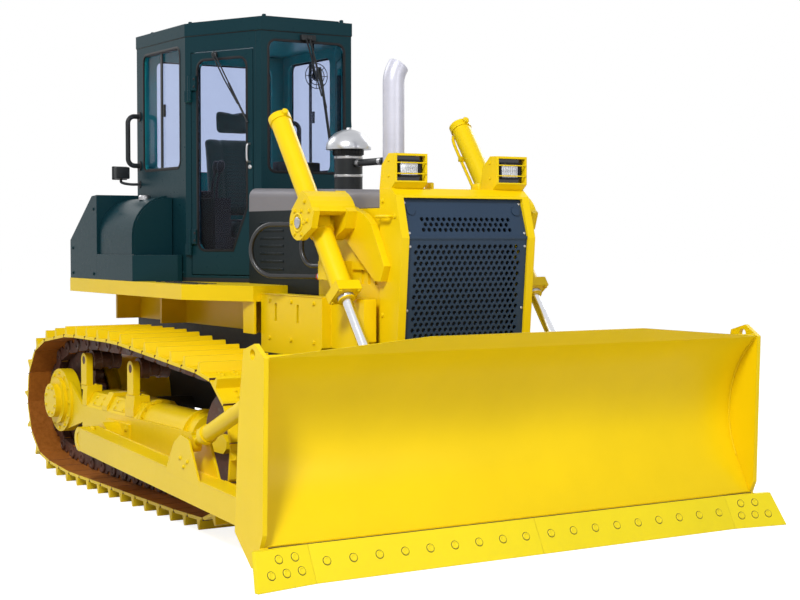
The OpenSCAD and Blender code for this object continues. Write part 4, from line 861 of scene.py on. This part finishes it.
def make_guard():
    """Bolts, grab handles and lifting eyes of the radiator guard, and the grille's screws."""
    bolts = Group("guard_bolts", "yellow", "yellow_paint")
    screws = Group("grille_screws", "steel", "bare_metal")
    handle = ((1.335, 0.0), (1.335, 0.028), (1.343, 0.034), (1.437, 0.034), (1.445, 0.028), (1.445, 0.0))
    for s in (-1, 1):
        for x, z in ((1.35, 1.74), (1.35, 1.45), (1.35, 1.15), (1.35, 0.85), (1.47, 1.66)):
            bolts.bolt((x, s * GUARD_HW, z), Y * s, 0.010)
        bolts.tube([(x, s * (GUARD_HW + d), 1.66) for x, d in handle], 0.009, 12)
        eye = Vector((1.375, s * 0.150, GUARD_TOP + 0.016))
        half = Vector((0.030, 0.012, 0.018))
        bolts.block(eye - half, eye + half, 0.008)
    foot = Vector((NOSE_X - 0.079, 0, 0.802))
    fold = Vector((NOSE_X - 0.014, 0, NOSE_FOLD))
    head = Vector((NOSE_X - 0.081, 0, 1.750))
    for a, b, places in ((foot, fold, (0.03, 0.5, 0.94)), (fold, head, (0.12, 0.9))):
        out = Vector((b.z - a.z, 0, a.x - b.x)).normalized()
        for s in (-1, 1):
            for t in places:
                at = a.lerp(b, t) + Y * s * (GRILLE_HW - 0.013)
                screws.lathe(at, out, ((0.0075, -0.002), (0.0075, 0.003), (0.005, 0.005)), 12)


def make_headlamps():
    bars = Group("lamp_bars", "yellow", "yellow_paint")
    unit = Group("lamp_units", "chrome", "bare_metal")
    seal = Group("lamp_seals", "rubber", "dark_paint")
    glass = Group("lamp_fronts", "lens", "window_glass")
    for s in (-1, 1):
        at = Vector((LAMP_X, s * LAMP_Y, LAMP_Z))
        for dz in (-0.028, 0.028):
            bar = at + Vector((0.031, 0, dz))
            bars.tube([bar - Y * 0.092, bar + Y * 0.092], 0.0035, 10)
        for a in (-1, 1):
            for b in (-1, 1):
                bars.bolt(at + Vector((-0.037, a * 0.098, b * 0.040)), Y * a, 0.0065)
        rim = [at + Y * (a - 0.062) + Z * (b - 0.040) for a, b in rounded_path(0.124, 0.080, 0.014)]
        seal.sweep(rim, ((-0.005, -0.001), (0.005, -0.001), (0.005, 0.014), (-0.005, 0.014)), True, X)
        half = Vector((0.0019, 0.058, 0.036))
        unit.block(at + X * 0.0011 - half, at + X * 0.0011 + half, 0.001)
        for i in range(9):
            flute = at + Y * (0.012 * i - 0.048)
            form = ((0.005, -0.033), (0.007, 0), (0.005, 0.033))
            glass.tube([flute + Vector((x, 0, z)) for x, z in form], 0.0045, 8)


def make_hood():
    """Louvres on the hood, clamps on the exhaust and the air cleaner, and the cleaner's vents and cap."""
    trim = Group("hood_trim", "hood", "dark_paint")
    top = Group("stack_fittings", "steel", "bare_metal")
    vents = Group("cleaner_vents", "plastic", "dark_paint")
    cap = Group("cleaner_cap", "pressed", "bare_metal", angle=50.0)
    for s in (-1, 1):
        for i in range(7):
            z = 1.36 + 0.045 * i
            trim.block((-0.10, s * 0.399 - 0.003, z), (0.20, s * 0.399 + 0.004, z + 0.014), 0.003)
    top.clamp((*EXHAUST, 1.868), 0.0615, 0.011, 36)
    for z in (1.905, 2.010):
        top.clamp((*CLEANER, z), 0.0815, 0.008, 40)
    for x in (0.56, 0.80):
        top.lathe((x, CLEANER[1], 1.976), X, ((0.0215, -0.014), (0.0215, 0.014)), 20)
    half = Vector((0.004, 0.004, 0.014))
    for a in turns(24):
        at = Vector((*CLEANER, 2.040)) + polar(X, Y, a, 0.0845)
        vents.block(at - half, at + half, 0.002, Matrix.Rotation(a, 3, "Z"))
    # rolled rim and dome of the rain cap, with its nut
    profile = [(0.1262, 2.0560), (0.1296, 2.0560), (0.1302, 2.0600), (0.1302, 2.0770), (0.1290, 2.0800)]
    for i in range(13):
        a = radians(23.3 + 60.7 * i / 12)
        profile.append((0.1395 * cos(a), 2.034 + 0.1395 * sin(a)))
    cap.lathe((*CLEANER, 0.0), Z, profile, 48)
    cap.lathe((*CLEANER, 2.170), Z, ((0.014, 0.0), (0.014, 0.010), (0.009, 0.014)), 6)


# Cab

WALL_A = atan2(CAB_HW0 - CAB_HW1, CAB_X1 - CAB_XK)


def on_door(s, t, d, z):
    """A point on the angled door side: t along it from its rear corner, d outward, height z."""
    along = Vector((cos(WALL_A), -s * sin(WALL_A), 0))
    out = Vector((sin(WALL_A), s * cos(WALL_A), 0))
    return Vector((CAB_XK, s * CAB_HW0, z)) + along * t + out * d


def make_windows():
    """Rubber seals round the panes, rails of the sliding panes and the seam below the roof."""
    seals = Group("window_seals", "rubber", "dark_paint", angle=50.0)
    bars = Group("window_bars", "plastic", "dark_paint")
    h = WIN_Z1 - WIN_Z0
    for x, w, low, high, out in ((CAB_X1, 2 * (CAB_HW1 - 0.050), -0.040, 0.0, X),
                                 (CAB_X0, 2 * (CAB_HW0 - 0.130), 0.0, -0.020, -X)):
        rim = rounded_path(w, h + high - low, WINDOW_R)
        seals.sweep([(x, a - w / 2, WIN_Z0 + low + b) for a, b in rim], GASKET, True, out)
    x0, w = CAB_X0 + 0.110, CAB_XK - CAB_X0 - 0.190
    for s in (-1, 1):
        rim = rounded_path(w, h, WINDOW_R)
        seals.sweep([(x0 + a, s * CAB_HW0, WIN_Z0 + b) for a, b in rim], GASKET, True, Y * s)
        x, y = x0 + 0.47 * w, s * (CAB_HW0 - 0.012)
        bars.block((x - 0.014, y - 0.005, WIN_Z0 + 0.002), (x + 0.014, y + 0.005, WIN_Z1 - 0.002), 0.003)
        bars.block((x + 0.03, y - 0.005, WIN_Z0 + 0.34), (x + 0.045, y + 0.010, WIN_Z0 + 0.42), 0.003)
        for z in (WIN_Z0 + 0.006, WIN_Z1 - 0.006):
            bars.block((x0 + 0.040, y - 0.006, z - 0.006), (x0 - 0.040 + w, y + 0.006, z + 0.006), 0.002)
    half_rim = ((CAB_X0, CAB_HW0), (CAB_XK, CAB_HW0), (CAB_X1, CAB_HW1))
    rim = [(x, -y) for x, y in half_rim] + list(half_rim[::-1])
    seals.tube([(x, y, CAB_Z1 - 0.002) for x, y in rim], 0.0035, 8, True)


def make_shell():
    """Bolts, rear slats and roof fittings of the cab."""
    shell = Group("cab_fittings", "teal", "teal_paint")
    peg = ((0.024, 0.0), (0.024, 0.006), (0.013, 0.008), (0.013, 0.020), (0.009, 0.024))
    for s in (-1, 1):
        for x in (CAB_X0 + 0.05, -1.2, CAB_XK - 0.04):
            shell.bolt((x, s * CAB_HW0, CAB_Z0 + 0.03), Y * s, 0.008)
        for z in (CAB_Z0 + 0.12, CAB_Z0 + 0.30):
            y = s * 0.30
            shell.block((CAB_X0 - 0.006, y - 0.10, z), (CAB_X0 + 0.002, y + 0.10, z + 0.016), 0.002)
        for x, y in ((-1.46, 0.500), (-0.86, 0.500), (-0.290, 0.270)):
            shell.lathe((x, s * y, ROOF_Z - 0.001), Z, peg, 16)


def make_wiper():
    wiper = Group("wipers", "plastic", "dark_paint")
    x = CAB_X1 + 0.014
    tip = Vector((x + 0.006, 0.120, WIN_Z0 + 0.360))
    wiper.block((x - 0.014, -0.050, WIN_Z1 + 0.006), (x + 0.016, 0.050, WIN_Z1 + 0.042), 0.006)
    wiper.lathe((x + 0.004, 0.0, WIN_Z1 + 0.020), X, ((0.014, 0.0), (0.014, 0.020), (0.009, 0.026)), 16)
    arm = [(x + 0.020, 0.0, WIN_Z1 + 0.020), (x + 0.022, 0.050, WIN_Z1 - 0.150), tip + X * 0.010]
    wiper.tube(smooth_path(arm), 0.0065, 8)
    wiper.tube([(x + 0.020, -0.020, WIN_Z1 + 0.014), (x + 0.020, 0.086, WIN_Z0 + 0.430)], 0.0050, 8)
    lean = Vector((0, 0.040, -0.250))
    wiper.sweep([tip + lean, tip, tip - lean],
                ((-0.009, -0.004), (0.009, -0.004), (0.004, 0.008), (-0.004, 0.008)), False, X)


def make_rear_lamps():
    """Work lamps on brackets at the cab's rear corners."""
    lamps = Group("rear_lamps", "plastic", "dark_paint")
    fronts = Group("rear_lamp_fronts", "lens", "window_glass")
    half, rim = Vector((0.034, 0.048, 0.040)), Vector((0.008, 0.053, 0.045))
    for s in (-1, 1):
        at = Vector((CAB_X0 - 0.010, s * (CAB_HW0 + 0.110), WIN_Z0 - 0.010))
        foot = at + Vector((0.05, -s * 0.112, -0.075))
        lamps.block(at - half, at + half, 0.010)
        lamps.block(at - X * 0.034 - rim, at - X * 0.034 + rim, 0.006)
        stem = [at - Z * 0.030, at - Z * 0.062, at + Vector((0.03, -s * 0.05, -0.075)), foot]
        lamps.tube(smooth_path(stem, 6), 0.009, 10)
        lamps.lathe(foot, Y * s, ((0.026, 0.0), (0.026, 0.006), (0.014, 0.010)), 16)
        for i in range(5):
            flute = at + Y * (0.017 * i - 0.034)
            form = ((-0.043, -0.032), (-0.045, 0), (-0.043, 0.032))
            fronts.tube([flute + Vector((x, 0, z)) for x, z in form], 0.008, 8)


def make_door(side, s):
    """Seal, handle, hinge bolts and wiper of a door."""
    body = "door_" + side
    seal = Group("door_seal_" + side, "rubber", "dark_paint", body, angle=50.0)
    trim = Group("door_fittings_" + side, "plastic", "dark_paint", body)
    grip = Group("door_handle_" + side, "steel", "bare_metal", body)
    along = on_door(s, 1, 0, 0) - on_door(s, 0, 0, 0)
    out = on_door(s, 0, 1, 0) - on_door(s, 0, 0, 0)
    # the pane's outline has a slanted lower front corner
    w = DOOR_T1 - DOOR_T0 - 2 * DOOR_RIM
    h = DOOR_Z1 - DOOR_Z0 - DOOR_LOW - DOOR_RIM
    cut_x, cut_h = 0.72 * w, 0.22 * h
    outline = [(cut_x, 0.0), (w, cut_h)]
    for a, b in rounded_path(w, h, 0.060):
        if a <= cut_x or b >= cut_h * (a - cut_x) / (w - cut_x):
            outline.append((a, b))
    rim = [on_door(s, DOOR_T0 + DOOR_RIM + a, 0.0, DOOR_Z0 + DOOR_LOW + b) for a, b in outline]
    seal.sweep(rim, GASKET, True, out)

    t, z = DOOR_T1 - 0.020, DOOR_Z0 + 0.66
    bow = ((0, 0.0, 0.03), (0, 0.024, 0.034), (-0.003, 0.029, 0.055), (-0.003, 0.029, 0.115),
           (0, 0.024, 0.136), (0, 0.0, 0.14))
    grip.tube(smooth_path([on_door(s, t + dt, d, z + dz) for dt, d, dz in bow], 5), 0.0065, 10)
    grip.lathe(on_door(s, t, 0.0, z), out, ((0.013, -0.002), (0.013, 0.005), (0.009, 0.008)), 20)
    for hinge_z in (DOOR_Z0 + 0.190, DOOR_Z1 - 0.230):
        for dz in (0.022, 0.068):
            trim.bolt(on_door(s, DOOR_T0 + 0.036, 0.018, hinge_z + dz), out, 0.0065)

    foot = on_door(s, DOOR_T0 + 0.20, 0.004, DOOR_Z1 - 0.020)
    tip = on_door(s, DOOR_T1 - 0.105, 0.006, DOOR_Z1 - 0.330)
    trim.lathe(foot, out, ((0.020, 0.0), (0.020, 0.014), (0.012, 0.020)), 16)
    for d in (-0.011, 0.011):
        lift = out * 0.014 + along * d
        trim.tube([foot + lift, foot.lerp(tip, 0.5) + lift, tip + out * 0.004 + along * 0.5 * d], 0.0045, 8)
    blade = tip + out * 0.001
    trim.tube([blade + (foot - tip) * 0.42, blade - (foot - tip) * 0.38], 0.0065, 6)


# Inside the cab

def pad_mesh(name, profile, half_w):
    """A closed form with its profile in X and Z, remeshed to an even skin."""
    bm = bmesh.new()
    rings = [[bm.verts.new((x, y, z)) for x, z in profile] for y in (-half_w, half_w)]
    n = len(profile)
    for i in range(n):
        bm.faces.new((rings[0][i], rings[0][(i + 1) % n], rings[1][(i + 1) % n], rings[1][i]))
    bm.faces.new(rings[0][::-1])
    bm.faces.new(rings[1])
    bmesh.ops.bevel(bm, geom=list(bm.edges), offset=0.028, segments=3, affect="EDGES", profile=0.5)
    bmesh.ops.recalc_face_normals(bm, faces=bm.faces)
    mesh = bpy.data.meshes.new(name)
    bm.to_mesh(mesh)
    bm.free()
    obj = add_object(name, mesh)
    remesh = obj.modifiers.new("even", "REMESH")
    remesh.mode = "VOXEL"
    remesh.voxel_size = 0.010
    apply_modifiers(obj)
    return obj


def apply_modifiers(obj):
    graph = bpy.context.evaluated_depsgraph_get()
    mesh = bpy.data.meshes.new_from_object(obj.evaluated_get(graph))
    obj.modifiers.clear()
    obj.data = mesh


def puff(obj, cap, pressure=4.0):
    """Blows the pad up as cloth, and lets no point move further than cap."""
    start = [v.co.copy() for v in obj.data.vertices]
    cloth = obj.modifiers.new("cloth", "CLOTH")
    cloth.settings.use_pressure = True
    cloth.settings.uniform_pressure_force = pressure
    cloth.settings.effector_weights.gravity = 0.0
    scene = bpy.context.scene
    for f in range(1, 21):
        scene.frame_set(f)
    apply_modifiers(obj)
    scene.frame_set(1)
    for vert, old in zip(obj.data.vertices, start):
        step = vert.co - old
        if step.length > cap:
            vert.co = old + step * (cap / step.length)


def make_seat():
    """Three pads, blown up as cloth, with sewn channels and a piped edge."""
    z0 = CAB_Z0 + 0.250
    z1 = z0 + 0.120
    z2 = z1 + 0.560
    pads = (
        ("seat_pad", ((-1.254, z0 + 0.004), (-0.806, z0 + 0.004), (-0.806, z1 - 0.016), (-1.254, z1 - 0.016)),
         0.224, 0.007),
        ("back_pad", ((-1.258, z1 + 0.016), (-1.168, z1 + 0.016), (-1.244, z2 - 0.014), (-1.318, z2 - 0.014)),
         0.214, 0.007),
        ("head_pad", ((-1.318, z2 + 0.016), (-1.264, z2 + 0.016), (-1.288, z2 + 0.166), (-1.334, z2 + 0.166)),
         0.116, 0.0),
    )
    for name, profile, half_w, channel in pads:
        obj = pad_mesh(name, profile, half_w)
        puff(obj, 0.014)
        # sewn channels: the skin is drawn in along straight lines
        for vert in obj.data.vertices:
            dip = sum(exp(-((vert.co.y - seam) / 0.008) ** 2) for seam in (-0.5 * half_w, 0.5 * half_w))
            vert.co -= vert.normal * channel * dip
        smooth = obj.modifiers.new("soft", "SUBSURF")
        smooth.levels = smooth.render_levels = 1
        obj.data.shade_smooth()
        obj.data.materials.clear()
        obj.data.materials.append(MAT["cloth"])
        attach(obj, "tractor")
    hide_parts("seat_cushions")
    piping = Group("seat_piping", "rubber", "dark_paint")
    edge = [(-1.262 + a, b - 0.232, z1 - 0.012) for a, b in rounded_path(0.464, 0.464, 0.045)]
    piping.tube(edge, 0.0045, 8, True)


def make_controls():
    """Levers and arm rests beside the seat, pedals, monitor and a fan under the roof."""
    inside = Group("cab_controls", "plastic", "dark_paint")
    knob = ((0.014, 0.0), (0.024, 0.022), (0.025, 0.050), (0.017, 0.072))
    for s, levers in ((-1, (-0.86, -0.93)), (1, (-0.88,))):
        for x in levers:
            stick = ((x, s * 0.325, CAB_Z0 + 0.495), (x + 0.012, s * 0.322, CAB_Z0 + 0.60),
                     (x + 0.040, s * 0.315, CAB_Z0 + 0.68))
            inside.tube(smooth_path(stick, 6), 0.008, 10)
            inside.lathe((x + 0.040, s * 0.315, CAB_Z0 + 0.668), (0.3, 0, 1), knob, 16)
        rest, half = Vector((-1.14, s * 0.325, CAB_Z0 + 0.527)), Vector((0.16, 0.048, 0.025))
        inside.block(rest - half, rest + half, 0.018)
        pedal, half = Vector((-0.54, s * 0.12, CAB_Z0 + 0.090)), Vector((0.02, 0.045, 0.040))
        inside.block(pedal - half, pedal + half, 0.006, Matrix.Rotation(-0.7, 3, "Y"))
    inside.block((-0.425, -0.150, WIN_Z0 - 0.068), (-0.345, 0.150, WIN_Z0 + 0.030), 0.014)
    hub = Vector((-0.360, 0.130, 2.560))
    for r in (0.030, 0.055, 0.078):
        inside.tube([hub + polar(Y, Z, a, r) for a in turns(24)], 0.0028, 6, True)
    for a in turns(8):
        inside.tube([hub, hub + polar(Y, Z, a, 0.078)], 0.0022, 6)
    inside.lathe(hub - X * 0.030, X, ((0.020, 0.0), (0.024, 0.010), (0.024, 0.034), (0.012, 0.040)), 16)
    stem = hub - X * 0.045
    inside.tube([hub - X * 0.020, stem + Z * 0.060, Vector((stem.x, stem.y, CAB_Z1 + 0.002))], 0.008, 8)


# Deck, tanks and rear

def make_deck():
    """Bolts and a weld on the side boxes, and raised treads on the deck beside the doors."""
    bolts = Group("deck_bolts", "yellow", "yellow_paint")
    tread = Group("deck_treads", "dark", "dark_paint")
    for s in (-1, 1):
        for i in range(3):
            for z in (1.196, 0.985):
                bolts.bolt((0.36 + 0.26 * i, s * 0.570, z), Y * s, 0.011)
        bolts.bead((0.254, s * 0.571, 1.231), (0.967, s * 0.571, 1.231), 0.004, 0.014)
        for i in range(11):
            for j in range(3):
                x, y = -0.78 + 0.055 * i, 0.640 + 0.060 * j
                # the deck narrows towards the front
                if y <= 0.84 - 0.30 * max(0.0, x + 0.23):
                    tread.lathe((x, s * y, DECK_Z - 0.0005), Z,
                                ((0.018, 0.0), (0.016, 0.004), (0.008, 0.004), (0.006, 0.001)), 12)


def make_tanks():
    """Flanges, bolts and filler caps of the tanks, and grab rails on the back of the fuel tank."""
    tank = Group("tank_fittings", "teal", "teal_paint")
    metal = Group("tank_caps", "steel", "bare_metal")
    rear = Group("rear_fittings", "dark", "dark_paint")
    for s in (-1, 1):
        # bolted flange round the front end of the side tank
        axis = Vector((SIDE_TANK_X, s * SIDE_TANK_Y, SIDE_TANK_Z))
        arch = [Vector((SIDE_TANK_X, s * (SIDE_TANK_Y + SIDE_TANK_R), 1.446))]
        arch += [axis + polar(Y * s, Z, radians(-2 + 88 * i / 16), SIDE_TANK_R) for i in range(17)]
        tank.sweep(arch, ((-0.012, -0.003), (0.012, -0.003), (0.012, 0.004), (-0.012, 0.004)), False, X)
        for i in range(9):
            out = polar(Y * s, Z, radians(6 + 9.5 * i), 1.0)
            tank.bolt(axis + out * (SIDE_TANK_R + 0.004), out, 0.0065)
        metal.lathe((-1.28, s * 0.640, 1.795), Z,
                    ((0.040, 0.0), (0.040, 0.022), (0.034, 0.030), (0.020, 0.032)), 24)
        for x, z in ((DECK_X0 + 0.05, 1.31), (DECK_X0 + 0.05, 1.48), (-1.66, 1.31), (-1.66, 1.74)):
            tank.bolt((x, s * (DECK_HW - 0.004), z), Y * s, 0.009)
    metal.lathe((-1.74, -0.28, 1.79), (-0.2, 0, 1),
                ((0.062, -0.030), (0.062, 0.010), (0.052, 0.024), (0.030, 0.028)), 28)
    # folds, foot bolts and grab rails on the sloping back
    low, high = Vector((DECK_X0, 0, TANK_FOLD)), Vector((TANK_TOP_X, 0, TANK_TOP))
    for fold in (low, high):
        half = Y * (DECK_HW - 0.012)
        tank.bead(fold - half, fold + half, 0.0035, 0.016)
    out = Vector((low.z - high.z, 0, high.x - low.x)).normalized()
    rail = ((-0.15, -0.004), (-0.15, 0.040), (-0.135, 0.055), (0.135, 0.055), (0.15, 0.040), (0.15, -0.004))
    for y in (-0.50, 0.50):
        for dy in (-0.22, 0.0, 0.22):
            tank.bolt((DECK_X0, y + dy, DECK_Z + 0.030), -X, 0.010)
        foot = low.lerp(high, 0.60) + Y * y
        rear.tube([foot + Y * d + out * h for d, h in rail], 0.011, 12)
        for d in (-0.15, 0.15):
            rear.lathe(foot + Y * d, out, ((0.026, -0.002), (0.026, 0.006), (0.016, 0.010)), 16)
    # bolts on the rear case and on the drawbar's flange
    for x, ys, zs, r in ((-1.960, (-0.28, -0.14, 0.14, 0.28), (0.60, 0.90), 0.014),
                         (-2.080, (-0.12, 0.12), (0.53, 0.73), 0.013)):
        for y in ys:
            for z in zs:
                rear.bolt((x, y, z), -X, r)


# Stage

LIGHTS = (
    ("key", (6.8, -7.2, 8.4), (0.4, -0.3, 0.9), 2.4, 1110),
    ("fill", (10.5, 1.5, 3.5), (0.6, 0.0, 0.9), 5.0, 215),
    ("back", (-7.0, -4.0, 7.0), (-0.8, 0.0, 1.2), 4.0, 260),
    ("left", (-3.5, 8.5, 6.0), (-0.2, 0.2, 1.0), 5.0, 430),
)
FLOOR_HW = 60.0


def make_camera():
    data = bpy.data.cameras.new("camera")
    data.sensor_width = 36.0
    data.lens = data.sensor_width * FOCAL_PX / PHOTO_W
    data.clip_end = 200.0
    look = polar(polar(X, Y, radians(CAMERA_YAW), 1.0), Z, radians(CAMERA_PITCH), 1.0)
    bpy.context.scene.camera = add_object("camera", data, CAMERA_AT, look)


def make_lights():
    for name, at, aim, size, power in LIGHTS:
        data = bpy.data.lights.new(name, "AREA")
        data.shape = "DISK"
        data.size = size
        data.energy = power
        add_object(name, data, at, Vector(aim) - Vector(at))


def make_sky():
    world = bpy.data.worlds.new("studio")
    bpy.context.scene.world = world
    t = Tree(world)
    sky = t.feed(t.nodes["Background"], {"Color": (0.93, 0.96, 1.0, 1.0), "Strength": 0.30})
    white = t.add("ShaderNodeBackground", {"Color": (1.0, 1.0, 1.0, 1.0)})
    t.show_when_seen(sky, white, t.nodes["World Output"])


def make_floor():
    mesh = bpy.data.meshes.new("floor")
    sheet = [(x * FLOOR_HW, y * FLOOR_HW, 0) for x, y in ((-1, -1), (1, -1), (1, 1), (-1, 1))]
    mesh.from_pydata(sheet, [], [(0, 1, 2, 3)])
    floor = add_object("floor", mesh, (0, 0, cad_low.z - 0.001))
    mat = bpy.data.materials.new("pale_floor")
    t = Tree(mat)
    plain = t.feed(t.nodes["Principled BSDF"], {"Base Color": (0.60, 0.60, 0.60, 1.0), "Roughness": 0.9})
    # to the camera the floor is white paper that keeps the shadow
    paper = t.add("ShaderNodeBsdfDiffuse", {"Color": (0.50, 0.50, 0.50, 1.0)})
    glow = t.add("ShaderNodeEmission", {"Strength": 0.86})
    both = t.add("ShaderNodeAddShader", {0: paper.outputs[0], 1: glow.outputs[0]})
    t.show_when_seen(plain, both, t.nodes["Material Output"])
    mesh.materials.append(mat)


bpy.context.scene.view_settings.view_transform = "Standard"
for make in (make_camera, make_lights, make_sky, make_floor):
    make()
for make in (make_track, make_track_frame, make_arm, make_lift, make_door):
    for side_name, sign in SIDES:
        make(side_name, sign)
for make in (make_edges, make_blade_welds, make_blade_pins, make_yokes, make_hose_ends, make_guard,
             make_headlamps, make_hood, make_windows, make_shell, make_wiper, make_rear_lamps, make_seat,
             make_controls, make_deck, make_tanks):
    make()
for group in Group.made:
    group.done()
